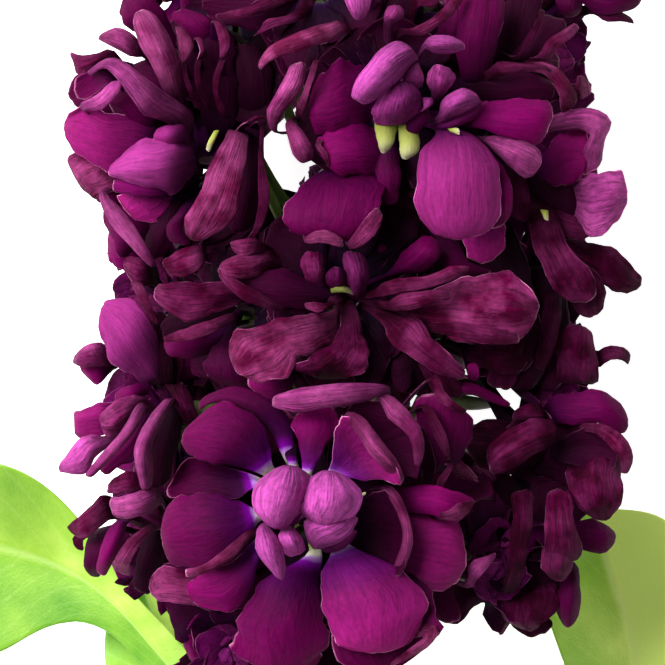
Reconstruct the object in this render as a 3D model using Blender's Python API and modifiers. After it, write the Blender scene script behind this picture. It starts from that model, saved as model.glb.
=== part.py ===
"""Stock flower stem: a cut stem of double stock, lying on its side on a table.

The stem runs along Y with the tip of the flower spike towards +Y. The table is the plane Z = 0. The spike is
held up by its lower florets, and the bare stem slopes down to its cut end.
"""
import math
import random
from collections import namedtuple

import bmesh
import bpy
import numpy as np
from mathutils import Vector

MM = 0.001
UP = Vector((0.0, 0.0, 1.0))
TIPWARD = Vector((0.0, 1.0, 0.0))

# Stem: it lies level through the spike and slopes down to the cut end
SPIKE_HEIGHT = 27.5 * MM
CUT_END_Y = -149.5 * MM
SPIKE_BASE_Y = -3.0 * MM
SPIKE_TIP_Y = 146.0 * MM
STEM_RADIUS = 3.3 * MM
STEM_TIP_RADIUS = 1.0 * MM
STEM_POINTS = 16
STEM_BEND = 1.3

# Green parts of a floret: the throat is the calyx's rim, where the petals come out
CALYX_LENGTH = 9.0 * MM
CALYX_RADIUS = 2.4 * MM
CALYX_FOOT_RADIUS = 2.0 * MM
PEDICEL_RADIUS = 0.8 * MM
PEDICEL_DROP = 13.0 * MM
PEDICEL_BEND = 0.55
SEPAL_TIP = 1.2 * MM

# Clearances: each floret keeps inside a cell of planes set between it and whatever is near
PIECE_GAP = 0.3 * MM
FLOOR_CLEAR = 0.18 * MM
CELL_BAND = 2.4 * MM
CALYX_BAND = 1.5 * MM
FLOOR_BAND = 0.4 * MM
ROW_INSET = 1.3 * MM
CELL_FILL = 0.999
NEAR = 30.0 * MM
BAR_STEP = 3.0 * MM

# Petals: shares of a petal's length and width where its claw ends, its blade is full and its tip rounds off
PETAL_THICKNESS = 0.62 * MM
CLAW_WIDTH = 0.08
CLAW_END = 0.12
BLADE_FULL = 0.80
TIP_START = 0.75
TIP_NARROW = 0.22
TIP_ROUND = 0.24
BEND_END = 0.62
BEND_STEPS = 24
RUFFLE_START = 0.3
RUFFLES = 1.5
FOOT_HEIGHT = 2.0 * MM
KEPT_FACES = 0.72

# The heart is the middle of the open rosette, and the core is the crumpled knob in it
HEART_ABOVE_THROAT = 6.0 * MM
CORE_SIDES = 6
CORE_RINGS = 4
CORE_RADIUS = 3.4 * MM
CORE_HEIGHT = 8.5 * MM
CORE_NECK = 0.25
CORE_FOLD = 0.35

# Rings of petals from the outside in: length, width and foot's distance from the floret's axis, and ruffle in
# millimetres, tilt from the axis at the foot and at the tip in degrees, and cup as a share of the width
Ring = namedtuple("Ring", "length width foot ruffle rise spread cup")
RINGS = [
    Ring(22.0, 19.5, 0.3, 1.4, 66, 96, 0.10),
    Ring(18.0, 15.5, 0.3, 1.2, 38, 66, 0.14),
    Ring(10.5, 8.5, 0.9, 0.5, 14, 22, 0.25),
]

# A single petal: lengths in metres, angles in radians, lift is how far one edge stands over the other
Petal = namedtuple("Petal", "length width foot ruffle rise spread cup phase turn lift")

# Faces across and along a petal's blade in each ring: fine on top of the spike, coarse under it
FINE = [(4, 4), (4, 3), (2, 2)]
MIDDLING = [(2, 3), (2, 2), (2, 2)]
COARSE = [(2, 2), (2, 2), (2, 2)]

# Florets: turn round the stem in degrees from straight up (+ towards +X), place along Y and distance of the
# heart from the stem's axis in millimetres, lean towards the tip in degrees, size against its neighbours,
# petals in each ring and their faces
FloretRow = namedtuple("FloretRow", "turn along reach lean size petals faces")
FLORETS = [
    FloretRow(-10, 28.3, 31.0, -4, 1.20, (6, 4, 3), FINE),
    FloretRow(0, 58.2, 25.0, 4, 1.05, (5, 4, 3), FINE),
    FloretRow(16, 82.5, 30.0, 2, 1.10, (5, 4, 3), FINE),
    FloretRow(-55, 73.8, 30.0, -4, 1.10, (5, 4, 3), MIDDLING),
    FloretRow(-46, 93.0, 28.5, 18, 0.95, (5, 3, 2), MIDDLING),
    FloretRow(-10, 101.0, 28.0, 12, 0.95, (5, 3, 2), MIDDLING),
    FloretRow(58, 77.0, 31.5, 0, 1.05, (5, 3, 2), MIDDLING),
    FloretRow(82, 59.5, 31.0, 0, 1.00, (5, 3, 2), MIDDLING),
    FloretRow(64, 37.0, 31.5, -4, 1.05, (5, 3, 2), MIDDLING),
    FloretRow(47, 19.5, 29.0, -12, 0.95, (5, 3, 2), MIDDLING),
    FloretRow(-73, 40.0, 31.0, -4, 1.00, (5, 3, 2), MIDDLING),
    FloretRow(-86, 56.5, 30.0, 4, 0.95, (5, 3, 2), MIDDLING),
    FloretRow(-80, 22.5, 30.0, -10, 0.95, (5, 3, 2), MIDDLING),
    FloretRow(-34, 8.5, 29.0, -16, 0.95, (5, 3, 2), MIDDLING),
    FloretRow(-42, 54.5, 28.5, 0, 0.95, (5, 3, 2), MIDDLING),
    FloretRow(76, 95.0, 30.0, 10, 1.00, (5, 3, 2), MIDDLING),
    FloretRow(34, 100.0, 28.5, 16, 0.90, (5, 3, 2), MIDDLING),
    FloretRow(37, 54.0, 28.5, 0, 0.90, (5, 3, 2), MIDDLING),
    FloretRow(-96, 82.0, 29.0, 8, 0.95, (5, 3, 0), COARSE),
    FloretRow(105, 76.0, 28.0, 4, 0.95, (5, 3, 0), COARSE),
    FloretRow(108, 44.0, 27.0, 0, 0.95, (5, 3, 0), COARSE),
    FloretRow(-118, 38.0, 26.0, 0, 0.90, (5, 3, 0), COARSE),
    FloretRow(-125, 64.0, 25.0, 6, 0.95, (5, 3, 0), COARSE),
    FloretRow(-138, 92.0, 25.0, 14, 0.95, (5, 3, 0), COARSE),
    FloretRow(140, 28.0, 23.5, 4, 0.90, (5, 3, 0), COARSE),
    FloretRow(143, 60.0, 24.0, 10, 0.95, (5, 3, 0), COARSE),
    FloretRow(136, 90.0, 25.0, 14, 0.95, (5, 3, 0), COARSE),
    FloretRow(-166, 46.0, 22.0, 14, 0.90, (5, 3, 0), COARSE),
    FloretRow(-174, 76.0, 22.5, 20, 0.90, (5, 3, 0), COARSE),
    FloretRow(-76, 108.0, 25.0, 28, 0.85, (5, 3, 0), COARSE),
    FloretRow(150, 110.0, 21.0, 30, 0.80, (5, 3, 0), COARSE),
    FloretRow(-150, 116.0, 20.0, 34, 0.75, (5, 3, 0), COARSE),
    FloretRow(70, 114.0, 22.5, 32, 0.80, (5, 3, 0), COARSE),
    FloretRow(14, 118.0, 21.5, 34, 0.80, (5, 3, 0), COARSE),
    FloretRow(-50, 122.0, 19.0, 42, 0.70, (5, 2, 0), COARSE),
]
PETAL_SEED = 11

# Closed buds at the tip of the spike, from the lowest to the last
BUD_COUNT = 13
BUD_FIRST_Y = 122.0 * MM
BUD_CROWDING = 0.8
BUD_FIRST_TURN = 40.0
BUD_TURN = 137.5
BUD_LEAN = (35.0, 80.0)
BUD_LENGTH = (8.5 * MM, 4.0 * MM)
BUD_RADIUS = (2.5 * MM, 1.4 * MM)
BUD_REACH = (7.8 * MM, 1.5 * MM)
BUD_STALK_DROP = (5.0 * MM, 0.0)
BUD_STALK_RADIUS = 0.7 * MM

# Leaves: where each grows from the stem along Y and its turn round the stem in degrees, its midrib's further
# points and its width in millimetres, the shares of its length between which the blade widens, its roll and
# the fold at its midrib in degrees, and its points across and along
LeafRow = namedtuple("LeafRow", "along turn midrib width widening roll fold columns rows")
LEAVES = [
    LeafRow(-13, -90, [(-20, 0, 21), (-36, 16, 13), (-52, 22, 10), (-71, 25, 5)],
            33, (0.40, 0.76), 22, 24, 5, 10),
    LeafRow(-22, -90, [(-12, -14, 22), (-21, -3, 14), (-26, 8, 9), (-30, 17, 6)],
            20, (0.1, 0.6), 0, 12, 5, 8),
    LeafRow(-28, 90, [(18, -26, 19), (37, -14, 13), (42, 4, 10), (38, 19, 8), (36, 26, 4)],
            27, (0.1, 0.6), -20, 20, 5, 9),
    LeafRow(-44, 90, [(18, -40, 26), (34, -36, 24), (56, -38, 16), (71, -40, 10)],
            16, (0.1, 0.7), 0, 10, 3, 8),
    LeafRow(-50, -90, [(-20, -44, 25), (-40, -36, 19), (-62, -34, 7)],
            17, (0.1, 0.7), -6, 10, 3, 8),
    LeafRow(-58, 0, [(-3, -50, 31), (-6, -34, 37), (-8, -20, 38)],
            14, (0.1, 0.7), 0, 14, 3, 8),
    LeafRow(-80, 90, [(20, -74, 19), (40, -70, 12), (58, -70, 4)],
            16, (0.1, 0.7), 6, 10, 3, 8),
    LeafRow(-90, -90, [(-18, -80, 17), (-34, -70, 13), (-50, -64, 5)],
            14, (0.1, 0.7), 0, 10, 3, 8),
]
LEAF_THICKNESS = 0.7 * MM
LEAF_SEAT = 0.85 * MM
LEAF_FOOT = 0.06
LEAF_NECK = 0.16
LEAF_TIP = 0.88
LEAF_TIP_POWER = 3.6
LEAF_WAVE = 1.1 * MM
LEAF_WAVES = 14.0
LEAF_WAVE_SHIFT = 1.2

# Block under the table's plane that flattens what presses on it
FLOOR_BLOCK = (160.0 * MM, 360.0 * MM, 20.0 * MM)


def clear_scene():
    """Remove whatever the file already holds."""
    for thing in list(bpy.data.objects):
        bpy.data.objects.remove(thing, do_unlink=True)


def make_collection(name):
    """Add a named collection to the scene."""
    collection = bpy.data.collections.new(name)
    bpy.context.scene.collection.children.link(collection)
    return collection


def make_material(name, colour, roughness):
    """A plain material with the part's colour and roughness."""
    material = bpy.data.materials.new(name)
    material.use_nodes = True
    shader = material.node_tree.nodes["Principled BSDF"]
    shader.inputs["Base Color"].default_value = (*colour, 1.0)
    shader.inputs["Roughness"].default_value = roughness
    shader.inputs["Metallic"].default_value = 0.0
    return material


def smooth(x):
    """Ease from 0 to 1 as x goes from 0 to 1."""
    x = np.clip(x, 0.0, 1.0)
    return x * x * (3.0 - 2.0 * x)


def between(pair, share):
    """The value a share of the way from the first of a pair to the second."""
    return pair[0] + (pair[1] - pair[0]) * share


def round_stem(degrees):
    """The direction out from the stem at a turn from straight up, towards +X."""
    turn = math.radians(degrees)
    return Vector((math.sin(turn), 0.0, math.cos(turn)))


def stem_centre(y):
    """The stem's axis at a place along Y: level in the spike, then down to the cut end."""
    fall = max((SPIKE_BASE_Y - y) / (SPIKE_BASE_Y - CUT_END_Y), 0.0)
    return Vector((0.0, y, SPIKE_HEIGHT - (SPIKE_HEIGHT - STEM_RADIUS) * fall ** STEM_BEND))


def stem_radius(y):
    """The stem thins towards the tip of the spike."""
    along = max((y - SPIKE_BASE_Y) / (SPIKE_TIP_Y - SPIKE_BASE_Y), 0.0)
    return between((STEM_RADIUS, STEM_TIP_RADIUS), along)


def link_mesh(name, mesh, collection, material=None):
    """Wrap a mesh in an object in the collection."""
    thing = bpy.data.objects.new(name, mesh)
    collection.objects.link(thing)
    if material:
        mesh.materials.append(material)
    return thing


def mesh_from(bm, name):
    """Turn a working mesh into mesh data."""
    mesh = bpy.data.meshes.new(name)
    bm.to_mesh(mesh)
    bm.free()
    return mesh


def evaluated_mesh(thing):
    """A new mesh of the object with its modifiers applied."""
    bpy.context.view_layer.update()
    return bpy.data.meshes.new_from_object(thing.evaluated_get(bpy.context.evaluated_depsgraph_get()))


def tube(name, points, radii, collection, bevel_resolution):
    """A tube through the points with a radius at each one, as a mesh with its caps welded."""
    curve = bpy.data.curves.new(name, "CURVE")
    curve.dimensions = "3D"
    curve.bevel_depth = 1.0
    curve.bevel_resolution = bevel_resolution
    curve.use_fill_caps = True
    spline = curve.splines.new("POLY")
    spline.points.add(len(points) - 1)
    for spot, point, radius in zip(spline.points, points, radii):
        spot.co = (*point, 1.0)
        spot.radius = radius
    path = bpy.data.objects.new(name, curve)
    collection.objects.link(path)
    bm = bmesh.new()
    bm.from_mesh(evaluated_mesh(path))
    bmesh.ops.remove_doubles(bm, verts=bm.verts, dist=0.001 * MM)
    bpy.data.objects.remove(path, do_unlink=True)
    return link_mesh(name, mesh_from(bm, name), collection)


def island_of(first, seen):
    """The faces joined to the first one, which are added to those seen."""
    seen.add(first)
    faces = [first]
    for face in faces:
        for edge in face.edges:
            for other in edge.link_faces:
                if other not in seen:
                    seen.add(other)
                    faces.append(other)
    return faces


def signed_volume(faces):
    """The volume inside triangles, negative where they face into a hollow."""
    volume = 0.0
    for face in faces:
        a, b, c = [vert.co for vert in face.verts]
        volume += a.dot(b.cross(c)) / 6.0
    return volume


def fuse(name, body, pieces, collection, material):
    """Union the pieces to the body in one solid, without sealed hollows and loose scraps."""
    union = body.modifiers.new("union", "BOOLEAN")
    union.operation = "UNION"
    union.operand_type = "COLLECTION"
    union.collection = pieces
    union.solver = "MANIFOLD"
    bm = bmesh.new()
    bm.from_mesh(evaluated_mesh(body))
    bmesh.ops.triangulate(bm, faces=bm.faces)
    seen = set()
    islands = [island_of(face, seen) for face in bm.faces if face not in seen]
    main_island = max(islands, key=signed_volume)
    for faces in islands:
        if faces is not main_island:
            bmesh.ops.delete(bm, geom=faces, context="FACES")
    bmesh.ops.delete(bm, geom=[vert for vert in bm.verts if not vert.link_faces], context="VERTS")
    solid = link_mesh(name, mesh_from(bm, name), collection, material)
    solid.location = body.location
    for piece in list(pieces.objects) + [body]:
        bpy.data.objects.remove(piece, do_unlink=True)
    return solid


class Floret:
    """Where one floret sits, which way it faces and the planes it keeps behind."""

    def __init__(self, row):
        lean = math.radians(row.lean)
        self.row = row
        self.out = round_stem(row.turn)
        self.axis = self.out * math.cos(lean) + TIPWARD * math.sin(lean)
        self.heart = stem_centre(row.along * MM) + self.out * row.reach * MM
        self.throat = self.heart - self.axis * HEART_ABOVE_THROAT
        self.north = (TIPWARD - self.axis * TIPWARD.dot(self.axis)).normalized()
        self.east = self.north.cross(self.axis)
        self.planes = []

    def pedicel(self):
        """Points from the stem's axis out to the foot of the calyx."""
        foot = self.throat - self.axis * CALYX_LENGTH
        root = stem_centre(foot.y - PEDICEL_DROP)
        bend = root + self.out * (foot - root).dot(self.out) * PEDICEL_BEND + TIPWARD * PEDICEL_DROP / 4
        return [root, bend, foot]

    def to_world(self, local):
        """Points in the floret's frame, east, north and out from the throat, as world points."""
        frame = np.array([self.east, self.north, self.axis])
        return np.array(self.throat + self.axis * PIECE_GAP) + local @ frame


def along_bar(points, radii):
    """Spots every few millimetres along a chain of points, each with its radius."""
    spots = []
    for start, end, first, last in zip(points, points[1:], radii, radii[1:]):
        steps = max(2, math.ceil((end - start).length / BAR_STEP))
        for step in range(steps + 1):
            spots.append((start.lerp(end, step / steps), between((first, last), step / steps)))
    return spots


def bud_shape(index):
    """The points and radii of a closed bud on its short stalk near the tip of the spike."""
    share = index / (BUD_COUNT - 1)
    y = between((BUD_FIRST_Y, SPIKE_TIP_Y), share ** BUD_CROWDING)
    out = round_stem(BUD_FIRST_TURN + BUD_TURN * index)
    lean = math.radians(between(BUD_LEAN, share))
    way = out * math.cos(lean) + TIPWARD * math.sin(lean)
    length = between(BUD_LENGTH, share)
    radius = between(BUD_RADIUS, share)
    root = stem_centre(y - between(BUD_STALK_DROP, share))
    foot = stem_centre(y) + out * between(BUD_REACH, share)
    points = [root, foot, foot + way * length * 0.35, foot + way * length * 0.8, foot + way * length]
    radii = [BUD_STALK_RADIUS, BUD_STALK_RADIUS * 1.15, radius, radius * 0.75, radius * 0.15]
    return points, radii


def green_spots(florets):
    """Spots on every pedicel, calyx and bud, each with its radius and the floret it carries."""
    spots = []
    radii = [PEDICEL_RADIUS, PEDICEL_RADIUS, CALYX_RADIUS, CALYX_RADIUS, CALYX_RADIUS]
    for floret in florets:
        points = floret.pedicel() + [floret.throat, floret.throat + floret.axis * SEPAL_TIP]
        spots.extend((spot, radius, floret) for spot, radius in along_bar(points, radii))
    for index in range(BUD_COUNT):
        spots.extend((spot, radius, None) for spot, radius in along_bar(*bud_shape(index)))
    return spots


def plane_short_of(spot, clearance, centre):
    """The plane square to the line from the centre to a spot, and short of it by the clearance."""
    away = spot - centre
    normal = away.normalized()
    return normal, normal.dot(centre) + away.length - clearance


def find_cell(floret, florets, green, leaf_points):
    """The planes that keep a floret's petals clear of its neighbours and of everything green."""
    half = PETAL_THICKNESS / 2
    planes = []
    for other in florets:
        if other is not floret:
            others_share = other.row.size / (floret.row.size + other.row.size)
            clearance = (other.heart - floret.heart).length * others_share + half + PIECE_GAP / 2
            planes.append(plane_short_of(other.heart, clearance, floret.heart))
    things = [(spot, radius) for spot, radius, owner in green if owner is not floret]
    things += [(spot, LEAF_THICKNESS / 2) for spot in leaf_points]
    for spot, radius in things:
        in_front = (spot - floret.throat).dot(floret.axis) >= -radius
        if in_front and (spot - floret.heart).length < NEAR:
            planes.append(plane_short_of(spot, radius + PIECE_GAP + half, floret.heart))
    return planes


def press(points, normal, limit, band):
    """Press points softly back behind a plane, keeping their order along its normal."""
    past = np.maximum(points @ normal - limit + band, 0.0)
    pressed = band * (1.0 - np.exp(-past / band))
    return points + np.outer(pressed - past, normal)


def settle(points, floret, inset, clear_of_calyx=True):
    """Keep points of a floret inside its cell, above the table and in front of its calyx."""
    normals = np.array([plane[0] for plane in floret.planes])
    limits = np.array([plane[1] for plane in floret.planes]) - inset
    for normal, limit in zip(normals, limits):
        points = press(points, normal, limit, CELL_BAND)
    if clear_of_calyx:
        limit = -floret.throat.dot(floret.axis) - PIECE_GAP - PETAL_THICKNESS / 2
        points = press(points, -np.array(floret.axis), limit, CALYX_BAND)
    points = press(points, -np.array(UP), -FLOOR_CLEAR, FLOOR_BAND)
    heart = np.array(floret.heart)
    reach = np.max((points - heart) @ normals.T / (limits - normals @ heart), axis=1)
    pull = CELL_FILL / np.maximum(reach, CELL_FILL)
    return heart + (points - heart) * pull[:, None]


def petal_surface(u, v, petal):
    """A petal's middle surface in its floret's frame: u runs across from -1 to 1, v from claw to tip."""
    along = v * (1.0 - TIP_ROUND * np.abs(u) ** 2.5 * v * v)
    broad = CLAW_WIDTH + (1.0 - CLAW_WIDTH) * smooth((v - CLAW_END) / (BLADE_FULL - CLAW_END))
    rounded = 1.0 - TIP_NARROW * smooth((v - TIP_START) / (1.0 - TIP_START))
    across = petal.width / 2 * u * broad * rounded
    marks = np.linspace(0.0, 1.0, BEND_STEPS)
    tilts = petal.rise + (petal.spread - petal.rise) * smooth(marks / BEND_END)
    step = petal.length / (BEND_STEPS - 1)
    radial = np.interp(along, marks, np.cumsum(np.sin(tilts)) * step) + petal.foot
    height = np.interp(along, marks, np.cumsum(np.cos(tilts)) * step) + FOOT_HEIGHT
    tilt = np.interp(along, marks, tilts)
    ruffle = np.sin(RUFFLES * math.pi * u + petal.phase + 2.0 * v) * smooth((v - RUFFLE_START) / 0.6)
    raised = petal.cup * petal.width / 2 * u * u * broad + petal.ruffle * ruffle
    raised = raised + petal.lift * petal.width * u * smooth((v - CLAW_END) / 0.5)
    radial = radial - np.cos(tilt) * raised
    height = height + np.sin(tilt) * raised
    east = radial * math.sin(petal.turn) + across * math.cos(petal.turn)
    north = radial * math.cos(petal.turn) - across * math.sin(petal.turn)
    return np.stack([east, north, height], axis=-1)


def draw_petal(ring, turn, size, rng):
    """One petal of a ring, with its own small differences."""
    return Petal(
        length=ring.length * MM * size * rng.uniform(0.94, 1.04),
        width=ring.width * MM * size * rng.uniform(0.94, 1.06),
        foot=ring.foot * MM,
        ruffle=ring.ruffle * MM * rng.uniform(0.6, 1.2),
        rise=math.radians(ring.rise + rng.uniform(-3, 3)),
        spread=math.radians(ring.spread + rng.uniform(-10, 10)),
        cup=ring.cup * rng.uniform(0.4, 1.3),
        phase=rng.uniform(0, 2 * math.pi),
        turn=turn + rng.uniform(-0.06, 0.06),
        lift=rng.uniform(0.06, 0.16),
    )


def make_petal(petal, faces, inset, floret, collection):
    """One petal as a thin closed blade, split into triangles alike on both faces."""
    bm = bmesh.new()
    bmesh.ops.create_grid(bm, x_segments=faces[0], y_segments=faces[1], size=0.5)
    u = np.array([2.0 * vert.co.x for vert in bm.verts])
    v = np.array([vert.co.y + 0.5 for vert in bm.verts])
    points = settle(floret.to_world(petal_surface(u, v, petal)), floret, inset)
    at_foot = v < 0.5 / faces[1]
    points[at_foot] = points[at_foot].mean(axis=0)
    for vert, point in zip(bm.verts, points):
        vert.co = Vector(point) - floret.throat
    bmesh.ops.remove_doubles(bm, verts=bm.verts, dist=0.001 * MM)
    bmesh.ops.triangulate(bm, faces=bm.faces)
    bmesh.ops.recalc_face_normals(bm, faces=bm.faces)
    blade = link_mesh("petal", mesh_from(bm, "petal"), collection)
    blade.location = floret.throat
    thickness = blade.modifiers.new("thickness", "SOLIDIFY")
    thickness.thickness = PETAL_THICKNESS
    thickness.offset = 0.0


def make_core(floret, collection):
    """The crumpled knob in the middle of the rosette, on a slim neck that stands in the calyx."""
    bm = bmesh.new()
    bmesh.ops.create_uvsphere(bm, u_segments=CORE_SIDES, v_segments=CORE_RINGS, radius=1.0)
    local = []
    for vert in bm.verts:
        swell = (vert.co.z + 1.0) / 2
        fold = 1.0 + CORE_FOLD * swell * math.cos(CORE_SIDES / 2 * math.atan2(vert.co.y, vert.co.x))
        radius = CORE_RADIUS * fold * (CORE_NECK + (1.0 - CORE_NECK) * swell * floret.row.size)
        local.append((vert.co.x * radius, vert.co.y * radius, swell * CORE_HEIGHT))
    inset = len(RINGS) * ROW_INSET
    points = settle(floret.to_world(np.array(local)), floret, inset, clear_of_calyx=False)
    for vert, point in zip(bm.verts, points):
        vert.co = Vector(point) - floret.throat
    bmesh.ops.triangulate(bm, faces=bm.faces)
    core = link_mesh("core", mesh_from(bm, "core"), collection)
    core.location = floret.throat
    return core


def make_floret(name, floret, rng, collection, pieces, material):
    """One double floret: rings of ruffled petals fused to a small core."""
    start = rng.uniform(0, 2 * math.pi)
    for place, (ring, count) in enumerate(zip(RINGS, floret.row.petals)):
        for index in range(count):
            petal = draw_petal(ring, start + 2 * math.pi * index / count, floret.row.size, rng)
            make_petal(petal, floret.row.faces[place], place * ROW_INSET, floret, pieces)
        start += math.pi / max(count, 1)
    solid = fuse(name, make_core(floret, collection), pieces, collection, material)
    fewer = solid.modifiers.new("fewer_slivers", "DECIMATE")
    fewer.ratio = KEPT_FACES
    fewer.use_collapse_triangulate = True
    return solid


def make_floor_cutter(collection):
    """A block under the table's plane, which flattens the petals that the spike lies on."""
    bm = bmesh.new()
    bmesh.ops.create_cube(bm, size=1.0)
    bmesh.ops.scale(bm, verts=bm.verts, vec=FLOOR_BLOCK)
    bmesh.ops.translate(bm, verts=bm.verts, vec=(0, 0, -FLOOR_BLOCK[2] / 2))
    cutter = link_mesh("floor_cutter", mesh_from(bm, "floor_cutter"), collection)
    cutter.hide_render = True
    cutter.display_type = "WIRE"
    return cutter


def rest_on_floor(solid, cutter):
    """Cut the solid flat where it would pass the table."""
    lowest = min(vert.co.z for vert in solid.data.vertices) + solid.location.z
    if lowest < 0:
        cut = solid.modifiers.new("flat_on_table", "BOOLEAN")
        cut.operation = "DIFFERENCE"
        cut.solver = "EXACT"
        cut.object = cutter


def make_calyx(floret, collection):
    """A pedicel that swells into a calyx with four pointed sepal tips round a shallow cup."""
    points = floret.pedicel() + [floret.throat]
    radii = [PEDICEL_RADIUS, PEDICEL_RADIUS, CALYX_FOOT_RADIUS, CALYX_RADIUS]
    calyx = tube("calyx", points, radii, collection, bevel_resolution=0)
    bm = bmesh.new()
    bm.from_mesh(calyx.data)
    rim = [vert for vert in bm.verts if abs((vert.co - floret.throat).dot(floret.axis)) < 0.01 * MM]
    cap = [face for face in bm.faces if all(vert in rim for vert in face.verts)]
    cap = bmesh.ops.dissolve_faces(bm, faces=cap)["region"]
    bmesh.ops.poke(bm, faces=cap)
    bmesh.ops.translate(bm, verts=rim, vec=floret.axis * SEPAL_TIP)
    bmesh.ops.triangulate(bm, faces=bm.faces)
    bm.to_mesh(calyx.data)
    bm.free()


def make_stem(florets, collection, pieces, material):
    """The stem with its pedicels, calyces and closed buds, fused as they grew."""
    places = [between((CUT_END_Y, SPIKE_TIP_Y), index / (STEM_POINTS - 1)) for index in range(STEM_POINTS)]
    points = [stem_centre(y) for y in places]
    radii = [stem_radius(y) for y in places]
    body = tube("axis", points, radii, collection, bevel_resolution=2)
    for floret in florets:
        make_calyx(floret, pieces)
    for index in range(BUD_COUNT):
        points, radii = bud_shape(index)
        tube("bud", points, radii, pieces, bevel_resolution=0)
    return fuse("stem", body, pieces, collection, material)


def curve_through(given, count):
    """Points on a smooth curve through the given ones."""
    padded = [2 * given[0] - given[1]] + given + [2 * given[-1] - given[-2]]
    spans = len(given) - 1
    result = []
    for index in range(count):
        place = spans * index / (count - 1)
        span = min(int(place), spans - 1)
        t = place - span
        a, b, c, d = padded[span:span + 4]
        bend = (2 * a - 5 * b + 4 * c - d) * t ** 2 + (3 * b - a - 3 * c + d) * t ** 3
        result.append(0.5 * (2 * b + (c - a) * t + bend))
    return result


def leaf_points(row):
    """A leaf's middle surface as rows of points across its midrib, from foot to tip."""
    out = round_stem(row.turn)
    seat = stem_radius(row.along * MM) + LEAF_SEAT + LEAF_THICKNESS / 2 * out.z
    root = stem_centre(row.along * MM) + out * seat
    midrib = curve_through([root] + [Vector(point) * MM for point in row.midrib], row.rows)
    lines = []
    for index, point in enumerate(midrib):
        v = index / (row.rows - 1)
        ahead = (midrib[min(index + 1, row.rows - 1)] - midrib[max(index - 1, 0)]).normalized()
        level = ahead.cross(UP).normalized()
        above = level.cross(ahead)
        roll = math.radians(row.roll) * smooth(2 * v)
        side = level * math.cos(roll) + above * math.sin(roll)
        face = above * math.cos(roll) - level * math.sin(roll)
        neck = LEAF_FOOT + LEAF_NECK * smooth(v / row.widening[0])
        broad = neck + (1 - neck) * smooth((v - row.widening[0]) / (row.widening[1] - row.widening[0]))
        half = row.width * MM / 2 * broad * (1 - LEAF_TIP * max(2 * v - 1, 0) ** LEAF_TIP_POWER)
        fold = math.tan(math.radians(row.fold)) * broad
        line = []
        for column in range(row.columns):
            u = 2 * column / (row.columns - 1) - 1
            shift = LEAF_WAVE_SHIFT if u > 0 else 0
            wave = LEAF_WAVE * abs(u) * math.sin(LEAF_WAVES * v + shift) * smooth(3 * v)
            spot = point + side * half * u + face * (half * abs(u) * fold + wave)
            spot.z = max(spot.z, LEAF_THICKNESS / 2 + FLOOR_CLEAR)
            line.append(spot)
        lines.append(line)
    return lines


def make_leaf(name, row, collection, material):
    """One leaf as a thin closed blade with a waved edge."""
    lines = leaf_points(row)
    bm = bmesh.new()
    bmesh.ops.create_grid(bm, x_segments=row.columns - 1, y_segments=row.rows - 1, size=0.5)
    for vert in bm.verts:
        column = round((vert.co.x + 0.5) * (row.columns - 1))
        index = round((vert.co.y + 0.5) * (row.rows - 1))
        vert.co = lines[index][column]
    bmesh.ops.triangulate(bm, faces=bm.faces)
    leaf = link_mesh(name, mesh_from(bm, name), collection, material)
    thickness = leaf.modifiers.new("thickness", "SOLIDIFY")
    thickness.thickness = LEAF_THICKNESS
    thickness.offset = 0.0


def main():
    clear_scene()
    parts = make_collection("stock_flower_stem")
    pieces = make_collection("pieces_to_fuse")
    cutter = make_floor_cutter(make_collection("cutters"))
    petal_purple = make_material("petal_purple", (0.16, 0.005, 0.09), 0.6)
    stem_green = make_material("stem_green", (0.30, 0.48, 0.10), 0.5)
    leaf_green = make_material("leaf_green", (0.45, 0.62, 0.16), 0.5)

    florets = [Floret(row) for row in FLORETS]
    green = green_spots(florets)
    leaf_spots = [spot for row in LEAVES for line in leaf_points(row) for spot in line]
    for floret in florets:
        floret.planes = find_cell(floret, florets, green, leaf_spots)

    make_stem(florets, parts, pieces, stem_green)
    for index, row in enumerate(LEAVES):
        make_leaf(f"leaf_{index + 1:02d}", row, parts, leaf_green)
    for index, floret in enumerate(florets):
        rng = random.Random(PETAL_SEED + index)
        solid = make_floret(f"floret_{index + 1:02d}", floret, rng, parts, pieces, petal_purple)
        rest_on_floor(solid, cutter)
    bpy.data.collections.remove(pieces)


main()
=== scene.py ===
import math
import random
from collections import namedtuple
from functools import partial

import bpy
import numpy as np
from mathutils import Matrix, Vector


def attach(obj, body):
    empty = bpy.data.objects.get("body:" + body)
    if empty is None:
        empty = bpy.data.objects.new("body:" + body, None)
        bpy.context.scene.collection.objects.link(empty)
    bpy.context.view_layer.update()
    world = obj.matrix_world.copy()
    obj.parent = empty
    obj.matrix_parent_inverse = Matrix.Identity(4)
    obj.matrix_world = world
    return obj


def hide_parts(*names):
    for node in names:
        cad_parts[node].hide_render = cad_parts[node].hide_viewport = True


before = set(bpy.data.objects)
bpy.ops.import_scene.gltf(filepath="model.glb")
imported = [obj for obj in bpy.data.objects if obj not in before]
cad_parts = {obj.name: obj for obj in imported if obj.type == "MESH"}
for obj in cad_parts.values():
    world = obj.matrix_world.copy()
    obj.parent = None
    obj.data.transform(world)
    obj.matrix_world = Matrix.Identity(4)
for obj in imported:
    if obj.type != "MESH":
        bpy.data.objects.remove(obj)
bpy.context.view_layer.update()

bl_info = {
    "name": "Stock flower stem",
    "version": (1, 0, 0),
    "blender": (4, 5, 0),
    "location": "3D View > Sidebar > Flower",
    "description": "Grows the florets, leaves, stem and buds of a cut stock flower round its packed solids",
    "category": "Add Mesh",
}

MM = 0.001
UP = Vector((0.0, 0.0, 1.0))
TIPWARD = Vector((0.0, 1.0, 0.0))
FLOOR_CLEAR = 0.25 * MM
FLOOR_BAND = 0.6 * MM
TINY = 1e-12

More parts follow.
